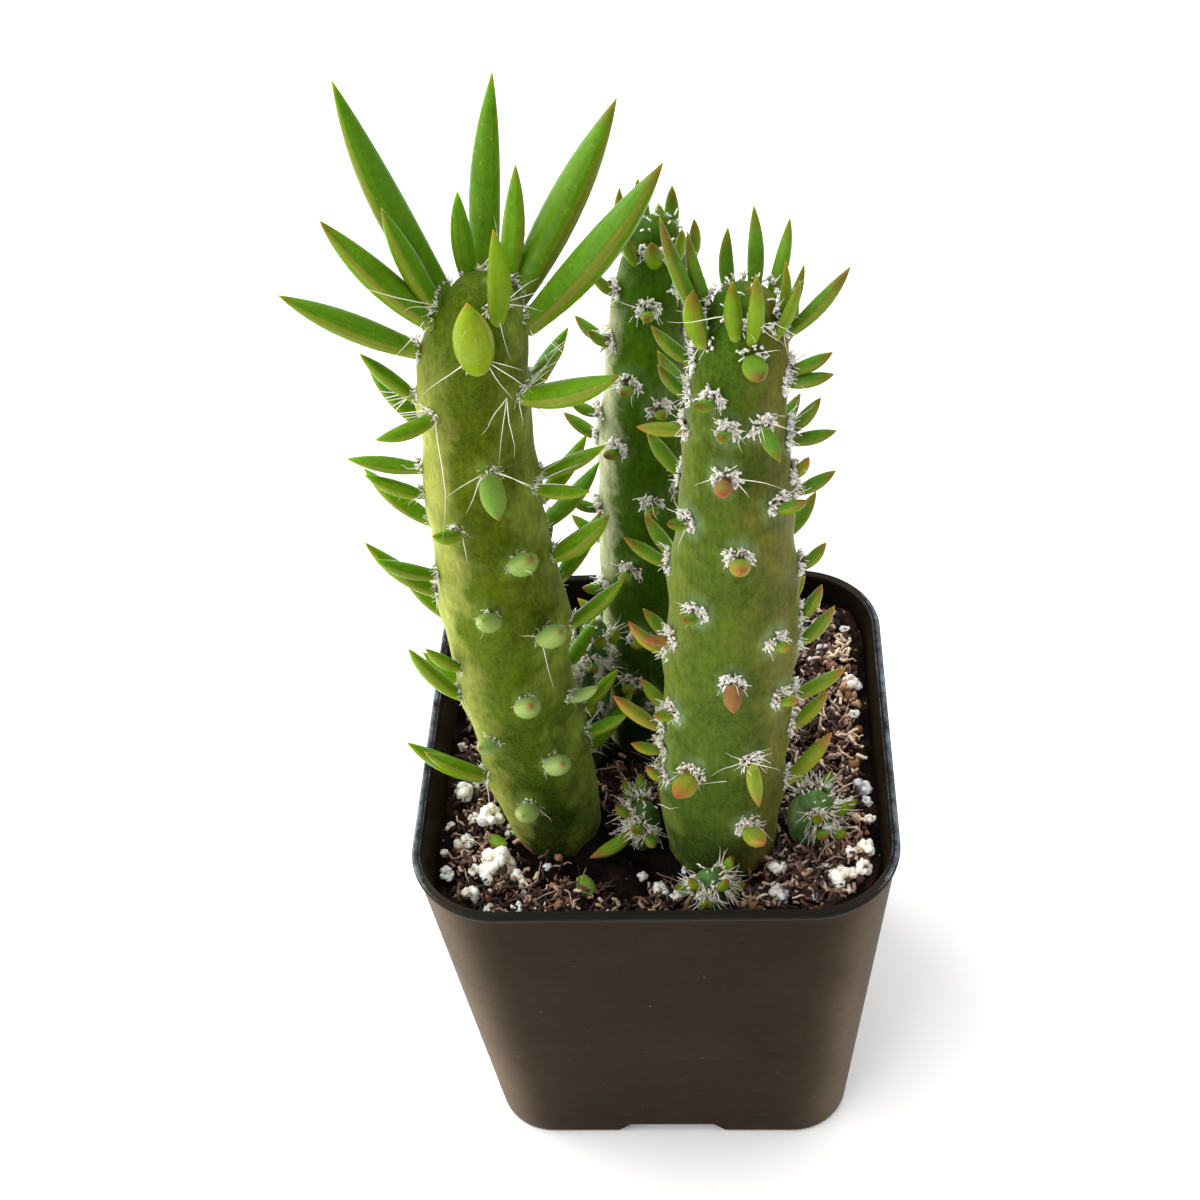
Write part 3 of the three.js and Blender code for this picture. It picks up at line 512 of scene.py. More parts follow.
def mesh_piece(name, surface, material, nodes=()):
    """A smooth mesh object from a surface in millimetres, riding with the part."""
    points, quads, caps, values = surface
    mesh = bpy.data.meshes.new(name)
    corners = np.concatenate([quads.ravel(), caps.ravel()]).astype(np.int32)
    sizes = np.repeat([4, 3], [len(quads), len(caps)])
    mesh.vertices.add(len(points))
    mesh.vertices.foreach_set("co", (points * MM).astype(np.float32).ravel())
    mesh.loops.add(len(corners))
    mesh.loops.foreach_set("vertex_index", corners)
    mesh.polygons.add(len(sizes))
    mesh.polygons.foreach_set("loop_start", (np.cumsum(sizes) - sizes).astype(np.int32))
    mesh.polygons.foreach_set("use_smooth", np.ones(len(sizes), bool))
    for key, value in values.items():
        attribute = mesh.attributes.new(key, "FLOAT", "POINT")
        attribute.data.foreach_set("value", value.astype(np.float32))
    mesh.update(calc_edges=True)
    if mesh.validate(verbose=False):
        raise RuntimeError(f"{name} has faces that are not valid")
    mesh.materials.append(material)
    piece = bpy.data.objects.new(name, mesh)
    bpy.context.scene.collection.objects.link(piece)
    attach(piece, BODY)
    if nodes:
        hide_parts(*nodes)
    return piece


def tube_rings(path, radius, sides, across=None, flat=1.0):
    """Rings round paths: circles square to the path, flattened above by flat.

    across is the ring's first axis where the path's own way doesn't settle it.
    """
    way = unit(np.gradient(path, axis=1))
    if across is None:
        across = unit(np.cross(np.array([0.21, 0.13, 0.97]), way))
    up = unit(np.cross(way, across))
    turn = around(sides, 0.5)
    rise = np.sin(turn) * np.where(np.sin(turn) > 0, flat, (1 + flat) / 2)
    return (
        path[:, :, None]
        + radius[:, :, None, None] * np.cos(turn)[:, None] * across[:, :, None]
        + radius[:, :, None, None] * rise[:, None] * up[:, :, None]
    )


def draw(number):
    """The same draw from 0 to 1 for the same number, as the frame's own rule has it."""
    value = np.sin(number * 12.9898 + 4.1414) * 43758.5453
    return value - np.floor(value)


def back_leaves(start, end, ranks, low, high, pitch, stagger, lift, length):
    """Ranks of leaves round the back, evenly staggered, each strayed a little by a draw."""
    leaves = []
    for rank in range(ranks):
        bearing = start + (end - start) * rank / (ranks - 1)
        for height in np.arange(low + (rank * stagger) % pitch, high, pitch):
            stray = [2 * draw(10 * rank + height + number) - 1 for number in range(4)]
            leaves.append(
                (
                    height + STRAY["height"] * stray[0],
                    bearing + STRAY["bearing"] * stray[1],
                    lift + STRAY["lift"] * stray[2],
                    length * (1 + STRAY["length"] * stray[3]),
                )
            )
    return leaves


def areoles_of(stem):
    """Arrays for a stem's areoles: place on the skin, ways out and across, and their leaves."""
    rows = (*stem["leaves"], *(back_leaves(*stem["back"]) if "back" in stem else ()))
    rows = np.array([tuple(row) + (0, -1)[len(row) - 4 :] for row in rows], float)
    height, bearing, lift, reach, width, ripe = rows.T
    x, y, radius = along_line(stem["line"], height).T
    out = heading(bearing, 0)
    skin = np.stack([x, y, height], axis=-1) + np.array(stem["foot"]) + out * radius[:, None]
    by_rule = stem["ripe"] * np.clip(1 - height / 60, 0, 1)
    return dict(
        height=height,
        bearing=bearing,
        lift=lift,
        reach=reach,
        width=np.where(width > 0, width, LEAF["width"] + LEAF["widen"] * reach),
        ripe=np.where(ripe < 0, by_rule, ripe),
        skin=skin,
        out=out,
        across=heading(bearing + 90, 0),
        base=skin + out * AREOLE["stand"] * stem["wool"],
    )


def skin_surface(stem, areoles, sides, ring):
    """A stem's skin on a grid of height and bearing, closed below the soil and at the top.

    The radius is the line's, plus a soft oval swelling under each areole and two slow waves
    round the stem; the dome above the last row is a quarter of an ellipse.
    """
    line, foot, top = stem["line"], np.array(stem["foot"]), stem["top"]
    last = line[-1][0]
    low = np.arange(-FOOT_DEPTH, last, ring)
    dome = np.radians(np.linspace(0, 84, 9))
    height = np.concatenate([low, last + (top - last) * np.sin(dome)])
    shrink = np.concatenate([np.ones(len(low)), np.cos(dome)])
    x, y, radius = along_line(line, np.clip(height, 0, last)).T
    bearing = 360 * np.arange(sides) / sides
    up = (height[:, None, None] - areoles["height"] + 1) / AREOLE["swell_up"]
    turn = (bearing[:, None] - areoles["bearing"] + 180) % 360 - 180
    across = np.radians(turn)[None] * radius[:, None, None]
    swell = np.exp(-(up**2 + (across / AREOLE["swell_across"]) ** 2) / 2)
    swell = np.minimum((swell**3).sum(axis=-1) ** (1 / 3), 1) - 0.35
    swell = swell * (radius[:, None] / 6.5) ** 1.5
    halo = np.exp(-(((up - 0.6) * 0.9) ** 2) - (across / 1.9) ** 2).max(axis=-1)
    halo = halo * np.clip((0.92 * top - height) / 8, 0, 1)[:, None]
    turns = np.radians(bearing)
    slow = 0.10 * np.sin(2 * turns + 0.21 * height[:, None]) + 0.07 * np.sin(
        3 * turns - 0.33 * height[:, None] + 1
    )
    wide = (radius[:, None] + AREOLE["swell"] * swell + slow) * shrink[:, None]
    middle = foot + np.stack([x, y, height], axis=-1)
    level = np.concatenate([circle(turns), 0 * turns[:, None]], axis=1)
    return closed_surfaces(
        foot[None] - [0, 0, FOOT_DEPTH],
        (middle[:, None] + wide[..., None] * level)[None],
        foot[None] + [x[-1], y[-1], top],
        halo=(0, np.clip(halo, 0, 1), 0),
        level=(0, (height / top)[:, None], 1),
        flank=(0.5, 0.5 + 0.5 * np.cos(turns), 0.5),
    )


def leaf_surfaces(base, bearing, lift, reach, width, ripe, old, tinged, sunk, seed):
    """Awl-shaped leaves: ovals, flatter above, along a way that bends up from root to tip.

    The girth is a quarter sine up to the fullest share, then falls by a power to the point.
    sunk is how deep the root goes. tinged is the share of a leaf's length from which its point
    is tinged.
    """
    count = len(reach)
    rng = np.random.default_rng(seed)
    share = np.array(LEAF_SHARES)
    length = (reach + sunk)[:, None]
    bend = lift[:, None] + LEAF["curve"] * (share / 2 - 0.5)
    root = base - heading(bearing, lift) * sunk[:, None]
    path = root[:, None] + heading(bearing[:, None], bend) * (share * length)[..., None]
    across = heading(bearing + 90, 0)[:, None]
    sway = rng.uniform(-0.035, 0.035, (count, 1)) * length * np.sin(np.pi * share)
    path = path + across * sway[..., None]
    full = LEAF["fullest"]
    rising = LEAF["root"] + (1 - LEAF["root"]) * np.sin(np.pi / 2 * np.minimum(share / full, 1))
    falling = 1 - np.clip((share - full) / (1 - full), 0, 1) ** LEAF["narrow"]
    radius = width[:, None] / 2 * np.where(share < full, rising, falling)
    rings = tube_rings(path, radius, LEAF["sides"], across + 0 * path, LEAF["flat"])
    turn = around(LEAF["sides"], 0.5)
    each = rng.uniform(0, 1, count)
    start = (tinged + rng.uniform(-0.06, 0.06, count))[:, None]
    tinge = np.clip((share - start) / (0.99 - start), 0, 1)
    return closed_surfaces(
        root,
        rings,
        root + heading(bearing, lift) * length,
        share=(0, share[:, None], 1),
        tinge=(0, tinge[:, :, None], 1),
        old=old,
        above=(0.5, 0.5 + 0.5 * np.sin(turn), 0.5),
        edge=(0, np.abs(np.cos(turn)) ** 10, 1),
        ripe=ripe,
        each=each,
    )


def fibre_surfaces(start, way, length, thick, curl, rng, points, taper, dry):
    """Thin fibres of four sides: a straight way plus two sine curls that grow with the length."""
    count = len(start)
    t = np.linspace(0, 1, points)
    first = unit(np.cross(way, rng.normal(size=(count, 3))))
    second = np.cross(way, first)
    phase = rng.uniform(0, 2 * np.pi, (count, 2, 1))
    turns = rng.uniform(0.6, 1.3, (count, 1)) * 2 * np.pi
    reach = (curl * length)[:, None] * t
    swing = reach * (np.sin(turns * t + phase[:, 0]) - np.sin(phase[:, 0]))
    sweep = reach * (np.cos(turns * t + phase[:, 1]) - np.cos(phase[:, 1]))
    path = (
        start[:, None]
        + way[:, None] * (length[:, None] * t)[..., None]
        + first[:, None] * swing[..., None]
        + second[:, None] * sweep[..., None]
    )
    radius = (thick / 2)[:, None] * (1 - (1 - taper) * t)
    rings = tube_rings(path, radius, 4)
    return closed_surfaces(path[:, 0], rings, path[:, -1], dry=dry, share=(0, t[:, None], 1))


def lump_surfaces(centre, size, rng, rough, dry):
    """Small lumps: spheres of a few dozen faces whose points are drawn in or out at random."""
    ways = globe(4, 7)
    stray = rng.uniform(-1, 1, (len(centre), *ways.shape[:2]))
    radius = size[:, None, None] / 2 * (1 + rough * stray)
    rings = centre[:, None, None] + radius[..., None] * ways
    pole = np.array([0, 0, 1]) * size[:, None] / 2
    return closed_surfaces(centre - pole, rings, centre + pole, dry=dry)


def popcorn_surface(centre, size, blue, rng):
    """A lump of foamed rock: from its centre, the farthest reach of two dozen small balls."""
    rings = globe(24, 32)
    ways = np.concatenate([[[0, 0, -1]], rings.reshape(-1, 3), [[0, 0, 1]]])
    balls = 24
    middle = unit(rng.normal(size=(balls, 3))) * rng.uniform(0.4, 0.72, (balls, 1))
    ball = rng.uniform(0.2, 0.42, balls)
    ahead = ways @ middle.T
    inside = ball**2 - (np.sum(middle**2, axis=1) - ahead**2)
    reach = np.where(inside > 0, ahead + np.sqrt(np.maximum(inside, 0)), 0.36)
    radius = np.maximum(reach.max(axis=1), 0.42) / 0.98
    radius = radius + 0.075 * rng.uniform(-1, 1, len(radius))
    # Low in the dips between the balls, where shade is painted on the grain.
    crease = np.clip((radius - 0.5) / 0.5, 0, 1)
    points = centre + ways * (radius * size / 2)[:, None] * np.array([1, 1, GRAIN_FLAT])
    return closed_surfaces(
        points[:1],
        points[1:-1].reshape(1, *rings.shape),
        points[-1:],
        crease=(crease[0], crease[1:-1].reshape(rings.shape[:2]), crease[-1]),
        blue=(blue, blue, blue),
    )


def square_rings(half, corner, corner_steps, edge_steps):
    """Rings of a square with round corners: half less corner times a sign, plus the arc."""
    signs, arcs = [], []
    step = (np.arange(1, edge_steps) / edge_steps)[:, None]
    for quarter in range(4):
        arc = circle(np.radians(90 * (quarter + np.arange(corner_steps + 1) / corner_steps)))
        sign, after = np.sqrt(2) * circle(np.radians(45 + 90 * np.array([quarter, quarter + 1])))
        signs += [np.repeat(sign[None], corner_steps + 1, axis=0), sign + (after - sign) * step]
        arcs += [arc, np.repeat(arc[-1:], edge_steps - 1, axis=0)]
    half, corner = np.atleast_1d(half)[:, None, None], np.atleast_1d(corner)[:, None, None]
    return (half - corner) * np.concatenate(signs) + corner * np.concatenate(arcs)


def pot_wall(z):
    """Half width and corner radius of the pot's outer wall at heights."""
    share = np.asarray(z, float) / POT["height"]
    return tuple(
        POT[f"foot_{part}"] + (POT[f"rim_{part}"] - POT[f"foot_{part}"]) * share
        for part in ("half", "corner")
    )


def soil_height(x, y):
    waves = sum(np.sin(a * x + b * y + phase) for a, b, phase in SOIL["waves"])
    banked = 0
    for along_x, along_y, start, end, rise in SOIL["banks"]:
        share = np.clip((along_x * x + along_y * y - start) / (end - start), 0, 1)
        banked = banked + rise * share * share * (3 - 2 * share)
    return SOIL["level"] - SOIL["fall"] * (x + y) + SOIL["lump"] * waves + banked


def foot_distance(x, y):
    """Distance from the nearest stem's skin at the level of the soil."""
    gaps = []
    for stem in STEMS.values():
        foot_x, foot_y, _ = stem["foot"]
        gaps.append(np.hypot(x - foot_x, y - foot_y) - stem["line"][0][3])
    return np.min(gaps, axis=0)


# By kind of node: the sockets that its plain values go to in turn, the output that it hands on,
# and the settings that all of its kind have here. The rest go by number, and hand on the first.
TAKES = {
    "Mix": (0, 6, 7),
    "TexNoise": ("Vector", "Scale", "Detail", "Roughness"),
    "TexVoronoi": ("Vector", "Scale"),
    "Bump": ("Strength", "Distance", "Height", "Normal"),
}
GIVES = {"ShaderNodeMix": 2, "ShaderNodeAttribute": 2, "ShaderNodeTexCoord": 3}
SETS = {"Mix": dict(data_type="RGBA")}


def add_node(tree, kind, *inputs, ramp=(), **named):
    """Adds a node. Inputs are values, hex colours or other nodes, in turn or by the socket's
    name; names in lower case are the node's settings; ramp holds a colour ramp's stops."""
    made = tree.nodes.new("ShaderNode" + kind)
    sockets = dict(zip(TAKES.get(kind, range(len(inputs))), inputs))
    for name, value in {**SETS.get(kind, {}), **named}.items():
        if name.islower():
            setattr(made, name, value)
        else:
            sockets[name.replace("_", " ")] = value
    for key, value in sockets.items():
        if isinstance(value, bpy.types.Node):
            value = value.outputs[GIVES.get(value.bl_idname, 0)]
        if isinstance(value, bpy.types.NodeSocket):
            tree.links.new(value, made.inputs[key])
        else:
            made.inputs[key].default_value = linear(value) if isinstance(value, str) else value
    stops = made.color_ramp.elements if ramp else ()
    for number, (place, colour) in enumerate(ramp):
        stop = stops[number] if number < 2 else stops.new(place)
        stop.position = place
        stop.color = linear(colour) if isinstance(colour, str) else (colour,) * 3 + (1,)
    return made


def new_material(name, *attributes):
    """A material, the function that adds a node to it, and its attributes' nodes."""
    material = bpy.data.materials.new(name)
    material.use_nodes = True
    material.node_tree.nodes.clear()
    node = partial(add_node, material.node_tree)
    return material, node, *(node("Attribute", attribute_name=key) for key in attributes)


def finished(material, **sockets):
    """The material with its one shader, whose sockets are set or linked here."""
    shader = add_node(material.node_tree, "BsdfPrincipled", **sockets)
    add_node(material.node_tree, "OutputMaterial", shader)
    return material


def polypropylene(wall, dust):
    """Injection-moulded polypropylene: a satin dark brown wall with fine level drag lines,
    pale scuffed spots, painted highlights on the upright corners and the lip's two edges, and
    painted shade inside."""
    material, node, corner, inner, rubbed = new_material(
        "moulded_polypropylene", "corner", "inner", "rubbed"
    )
    place = node("TexCoord")
    height = node("SeparateXYZ", place).outputs[2]
    # Clouds of handling marks about 14 mm wide.
    clouds = node("TexNoise", place, 70, 5, 0.6)
    soft = node("ValToRGB", clouds, ramp=((0.35, 0.0), (0.72, 0.55)))
    colour = node("Mix", soft, wall, dust)
    # Drag lines of the mould: 0.35 mm tall and some 9 mm long.
    lines = node("TexNoise", node("Mapping", place, Scale=(1, 1, 24)), 115, 3)
    # Rubbed spots: the brightest parts of a noise 2.2 mm wide.
    spots = node("TexNoise", place, 450, 6, 0.72)
    spotted = node("ValToRGB", spots, ramp=((0.66, 0.0), (0.74, 0.85)))
    colour = node("Mix", spotted, colour, "#6a5c4c")
    # The wall is tinted olive and rust in patches half a millimetre wide.
    fleck = node("TexNoise", place, 1500, 3)
    tinge = node("ValToRGB", fleck, ramp=((0.35, "#6a4a38"), (0.65, "#8f8b70")))
    colour = node("Mix", 0.5, colour, tinge, blend_type="OVERLAY")
    # Painted highlight: the upright corners are paler, in the same clouds, and the lip is cooler.
    # Painted highlight: bluish white on the lip's two edges, broken up by the spots.
    corner_highlight = node("Math", corner, clouds, operation="MULTIPLY")
    lip = node("MapRange", height, 53.0 * MM, 53.3 * MM, 0.0, 0.8)
    lip_glint = node("Math", rubbed, spots, operation="MULTIPLY")
    lip_glint = node("MapRange", lip_glint, 0.12, 0.42, 0.0, 1.0)
    # Painted shade: the inside of the wall and the floor are near black.
    layers = ((corner_highlight, "#6a5744"), (lip, "#16191a"), (inner, "#0b0806"), (lip_glint, "#b4c6d6"))
    for share, layer in layers:
        colour = node("Mix", share, colour, layer)
    relief = node("Bump", 0.25, 0.05 * MM, lines)
    return finished(
        material,
        Base_Color=colour,
        Roughness=node("MapRange", lines, 0.0, 1.0, 0.34, 0.52),
        Normal=node("Bump", 0.3, 0.06 * MM, spots, relief),
        IOR=1.49,
        Specular_IOR_Level=0.04,
        Specular_Tint="#ffdfb0",
        Sheen_Weight=0.08,
        Sheen_Roughness=0.4,
        Sheen_Tint="#c8a878",
    )


def potting_mix(dark, light):
    """Moist peat with dry crumbs: nearly black moist peat, brown crumbs, painted shade by the
    stems' feet, in the hollow in front of them and between the clods, and a grain of about a
    millimetre that keeps it without gloss."""
    material, node, shade = new_material("potting_mix", "shade")
    place = node("TexCoord")
    grain = node("TexNoise", place, 900, 8, 0.7)
    clods = node("TexNoise", place, 160, 3)
    both = node("Math", grain, clods, operation="MULTIPLY")
    dry = node("ValToRGB", both, ramp=((0.24, 0.0), (0.38, 1.0)))
    colour = node("Mix", dry, dark, light)
    # Pale specks 0.3 mm wide, about 2 mm apart.
    specks = node("TexVoronoi", place, 520)
    speck = node("ValToRGB", specks, ramp=((0.07, 0.7), (0.1, 0.0)))
    # Painted shade: near black by the stems' feet, in the hollow in front of them and between
    # clods.
    for share, layer in ((speck, "#a58a6b"), (shade, "#0b0705")):
        colour = node("Mix", share, colour, layer)
    return finished(
        material,
        Base_Color=colour,
        Normal=node("Bump", 0.9, 0.5 * MM, grain),
        Roughness=0.92,
        IOR=1.4,
        Specular_IOR_Level=0.12,
    )


def dried_matter(name, stops, size):
    """Dry plant matter such as coir and bark: dull browns that differ from piece to piece, with
    streaks of a size in millimetres."""
    material, node, dry = new_material(name, "dry")
    place = node("TexCoord")
    streak = node("TexNoise", place, 1 / (size * MM), 4)
    part = node("MapRange", streak, 0.0, 1.0, -0.14, 0.14)
    total = node("Math", dry, part, operation="ADD")
    return finished(
        material,
        Base_Color=node("ValToRGB", total, ramp=stops),
        Normal=node("Bump", 0.6, 0.12 * MM, streak),
        Roughness=0.78,
        IOR=1.45,
    )


def foamed_perlite():
    """Foamed volcanic glass: chalky cream with pits of 0.4 mm, painted shade in the creases,
    stained beige in places and blue-white on the grains listed as bluer."""
    material, node, crease, blue = new_material("foamed_perlite", "crease", "blue")
    place = node("TexCoord")
    pits = node("TexVoronoi", place, 2300)
    dust = node("TexNoise", place, 700, 6)
    # Painted shade: darker towards the dips between the balls.
    colour = node(
        "ValToRGB",
        crease,
        ramp=((0.04, "#6a5a44"), (0.2, "#c6b898"), (0.45, "#f2ead2"), (0.8, "#fffdf6")),
    )
    cold = node("Math", blue, 0.6, operation="MULTIPLY")
    soiled = node("ValToRGB", dust, ramp=((0.54, 0.0), (0.76, 0.7)))
    for share, layer in ((cold, "#b6c2d0"), (soiled, "#c4ab80")):
        colour = node("Mix", share, colour, layer)
    return finished(
        material,
        Base_Color=colour,
        Normal=node("Bump", 0.7, 0.25 * MM, pits),
        Roughness=0.85,
        IOR=1.5,
        Subsurface_Weight=0.4,
        Subsurface_Scale=0.9 * MM,
        Subsurface_Radius=(1, 0.95, 0.85),
    )


def cactus_skin(name, levels, flank, halo, pale, net, lit_to, flank_from, waxy):
    """A cactus's waxy skin: a net of pale pores 0.7 mm wide, clouds of lighter green, a blue
    bloom above each areole, painted light on one side, painted shade at the foot, and one
    flank partly weathered to olive and partly painted with rim light and shade."""
    material, node, level, side, bloom = new_material(name, "level", "flank", "halo")
    place = node("TexCoord")
    clouds = node("TexNoise", place, 190, 5, 0.6)
    # The real pores are finer than the picture can show.
    pores = node("TexVoronoi", place, 1450, feature="DISTANCE_TO_EDGE")
    grain = node("TexNoise", place, 1900, 4)
    drift = node("Math", clouds, side, operation="ADD")
    # The flank: partly weathered to olive, partly painted rim light and shade.
    flank_weathering_and_shading = node("MapRange", drift, flank_from, flank_from + 0.45, 0.0, 0.7)
    # Painted light: the lit side is paler, and fades out below the top.
    lit = node("ValToRGB", drift, ramp=((0.46, 0.85), (lit_to, 0.0)))
    below = node("MapRange", level, 0.82, 0.94, 1.0, 0.0)
    lit = node("Math", lit, below, operation="MULTIPLY")
    waxed = node("Math", bloom, clouds, operation="MULTIPLY")
    waxed = node("MapRange", waxed, 0.12, 0.5, 0.0, waxy)
    # Colour up the stem; its darkest stops at the foot are painted shade by the soil.
    colour = node("ValToRGB", level, ramp=levels)
    for share, layer in ((flank_weathering_and_shading, flank), (lit, pale), (waxed, halo)):
        colour = node("Mix", share, colour, layer)
    # Mottling a millimetre wide, and streaks up the stem 0.5 mm wide and four times as long.
    mottle = node("TexNoise", place, 900, 6, 0.72)
    streaks = node("TexNoise", node("Mapping", place, Scale=(1, 1, 0.25)), 2000, 4)
    both = node("Math", mottle, streaks, operation="ADD")
    blotch = node("ValToRGB", clouds, ramp=((0.36, 0.36), (0.62, 0.66)))
    tone = node("MapRange", both, 0.75, 1.2, 0.34, 0.7)
    for share, layer in ((0.8, blotch), (0.75, tone)):
        colour = node("Mix", share, colour, layer, blend_type="OVERLAY")
    netted = node("ValToRGB", pores, ramp=((0.02, 0.14), (0.16, 0.0)))
    speck = node("ValToRGB", grain, ramp=((0.6, 0.0), (0.72, 0.16)))
    for share in (netted, speck):
        colour = node("Mix", share, colour, net)
    relief = node("Bump", 0.35, 0.12 * MM, pores)
    return finished(
        material,
        Base_Color=colour,
        Roughness=node("MapRange", clouds, 0.0, 1.0, 0.38, 0.58),
        Normal=node("Bump", 0.45, 0.16 * MM, mottle, relief),
        IOR=1.42,
        Subsurface_Weight=0.18,
        Subsurface_Scale=1.1 * MM,
        Subsurface_Radius=(0.8, 1, 0.35),
        Specular_IOR_Level=0.1,
        Sheen_Weight=0.2,
        Sheen_Roughness=0.35,
        Sheen_Tint="#d2da70",
        Specular_Tint="#d8e060",
    )


def succulent_leaf(name, green, bloom, bloom_and_reflection):
    """A fleshy leaf full of water: it glows when lit from behind, has a pale bloom on the upper
    side that is partly wax and partly a painted reflection of the sky, a fine reddish rim, a
    brown point, and ripens from yellow to pink."""
    material, node, share, above, edge, ripe, each, old, tinge = new_material(
        name, "share", "above", "edge", "ripe", "each", "old", "tinge"
    )
    place = node("TexCoord")
    clouds = node("TexNoise", place, 330, 4)
    specks = node("TexVoronoi", place, 1100)
    specked = node("TexNoise", place, 1500, 4, 0.7)
    lively = node("Math", clouds, each, operation="MULTIPLY")
    fresh = node("Mix", lively, green, "#6d8b08")
    # A ripe leaf turns more towards its point.
    half = node("Math", share, 0.2, 0.8, operation="MULTIPLY_ADD")
    aged = node("Math", ripe, half, operation="MULTIPLY")
    autumn = node(
        "ValToRGB",
        aged,
        ramp=(
            (0.1, "#638113"), (0.4, "#7d871b"), (0.55, "#908128"), (0.68, "#9b6735"),
            (0.8, "#8c4039"),
        ),
    )
    turned = node("ValToRGB", ripe, ramp=((0.05, 0.0), (0.35, 1.0)))
    colour = node("Mix", turned, fresh, autumn)
    # Streaks along the leaf: noise over its girth, drawn out lengthwise.
    girth = node("CombineXYZ", above, edge, each)
    streaks = node("TexNoise", node("Mapping", girth, Scale=(9, 4, 60)), 1, 4)
    fibrous = node("Math", streaks, specked, operation="ADD")
    tone = node("MapRange", fibrous, 0.75, 1.25, 0.32, 0.68)
    colour = node("Mix", 0.7, colour, tone, blend_type="OVERLAY")
    # Upper side paled to the bloom colour: partly wax, partly a painted reflection of the sky.
    waxy = node("Math", above, clouds, operation="MULTIPLY")
    waxy = node("MapRange", waxy, 0.2, 0.62, 0.0, bloom_and_reflection)
    under = node("MapRange", above, 0.0, 0.5, 0.45, 0.0)
    root = node("MapRange", share, 0.0, 0.16, 0.5, 0.0)
    dots = node("ValToRGB", specks, ramp=((0.1, 0.5), (0.16, 0.0)))
    rim = node("MapRange", edge, 0.5, 0.95, 0.0, 0.55)
    paled = node("Math", old, 0.8, operation="MULTIPLY")
    point = node("ValToRGB", ripe, ramp=((0.0, "#6b2815"), (0.3, "#963531")))
    ending = node("Math", tinge, 0.85, operation="MULTIPLY")
    layers = (
        (waxy, bloom), (under, "#8ba112"), (root, "#9cac49"), (dots, "#7f9d2c"),
        (rim, "#987a37"), (paled, "#899b60"), (ending, point),
    )
    for part, layer in layers:
        colour = node("Mix", part, colour, layer)
    return finished(
        material,
        Base_Color=colour,
        Roughness=node("MapRange", waxy, 0.0, 0.6, 0.26, 0.5),
        Normal=node("Bump", 0.2, 0.1 * MM, clouds),
        IOR=1.4,
        Subsurface_Weight=0.5,
        Subsurface_Scale=2.4 * MM,
        Subsurface_Radius=(0.6, 1, 0.12),
        Specular_IOR_Level=0.12,
    )


def areole_wool(fresh):
    """Matted plant wool: soft off-white that lets light through, cream and tan with age, with
    brown scales left among it."""
    material, node, old = new_material("areole_wool", "dry")
    place = node("TexCoord")
    tuft = node("TexNoise", place, 1500, 5)
    stops = ((0.3, "#fbf9f2"), (0.6, "#e2d4b8"), (0.8, "#b08e68"), (0.95, "#4f2c20"))
    aged = node("ValToRGB", old, ramp=stops)
    turned = node("MapRange", old, 0.2, 0.4, 0.0, 1.0)
    return finished(
        material,
        Base_Color=node("Mix", turned, fresh, aged),
        Normal=node("Bump", 0.5, 0.15 * MM, tuft),
        Roughness=0.9,
        IOR=1.45,
        Subsurface_Weight=0.6,
        Subsurface_Scale=1.2 * MM,
        Subsurface_Radius=(1, 1, 0.95),
    )


def horny_spine():
    """A spine of horn: glassy cream-white and tan at its point, or dark all along."""
    material, node, share, dark = new_material("horny_spine", "share", "dry")
    shaft = node("ValToRGB", share, ramp=((0.0, "#e9dfc4"), (0.6, "#f7f2e4"), (1.0, "#d8c196")))
    return finished(
        material,
        Base_Color=node("Mix", dark, shaft, "#4a2d1c"),
        Roughness=0.3,
        IOR=1.54,
        Subsurface_Weight=0.25,
        Subsurface_Scale=0.4 * MM,
        Subsurface_Radius=(1, 0.9, 0.7),
    )


def matt_paper(colour):
    """Matt paper for the floor: plain, pale and without gloss."""
    material, node = new_material("matt_paper")
    place = node("TexCoord")
    felt = node("TexNoise", place, 900, 2)
    return finished(
        material, Base_Color=node("Mix", felt, colour, "#fbfaf8"), Roughness=0.9, IOR=1.4
    )


# The skins' colours: up the stem from foot to top, darkest at the foot as painted shade by the
# soil; the flank, partly weathered and partly painted rim light and shade; the bloom above the
# areoles; painted light on the lit side; and the net of pores. lit_to and flank_from are where the
# painted light ends and the flank's colour starts, on a drift that rises towards the flank; waxy is
# how strong the bloom is.
SKINS = {
    "stem_left": dict(
        levels=(
            (0.0, "#0c1a06"), (0.1, "#1b2d08"), (0.22, "#32450a"), (0.4, "#425307"),
            (0.75, "#404b03"), (1.0, "#354807"),
        ),
        flank="#7c893b", halo="#6b7d37", pale="#aeb256", net="#757f24",
        lit_to=0.86, flank_from=1.2, waxy=0.6,
    ),
    "stem_right": dict(
        levels=(
            (0.0, "#14240a"), (0.1, "#2a3e10"), (0.2, "#384d15"), (0.5, "#425315"),
            (0.8, "#3d4c12"), (1.0, "#284907"),
        ),
        flank="#625824", halo="#728b62", pale="#748133", net="#6d7c33",
        lit_to=0.7, flank_from=1.0, waxy=0.75,
    ),
    "stem_back": dict(
        levels=(
            (0.0, "#192c0c"), (0.2, "#223c08"), (0.5, "#2f4d03"), (0.8, "#375507"),
            (1.0, "#31550e"),
        ),
        flank="#37440e", halo="#637d4b", pale="#c8c89f", net="#5e7624",
        lit_to=0.7, flank_from=1.1, waxy=0.6,
    ),
    "shoot": dict(
        levels=((0.0, "#263c1d"), (0.5, "#37562c"), (1.0, "#496d3b")),
        flank="#37511d", halo="#8ea689", pale="#7f9860", net="#7f9662",
        lit_to=0.7, flank_from=1.2, waxy=0.7,
    ),
}


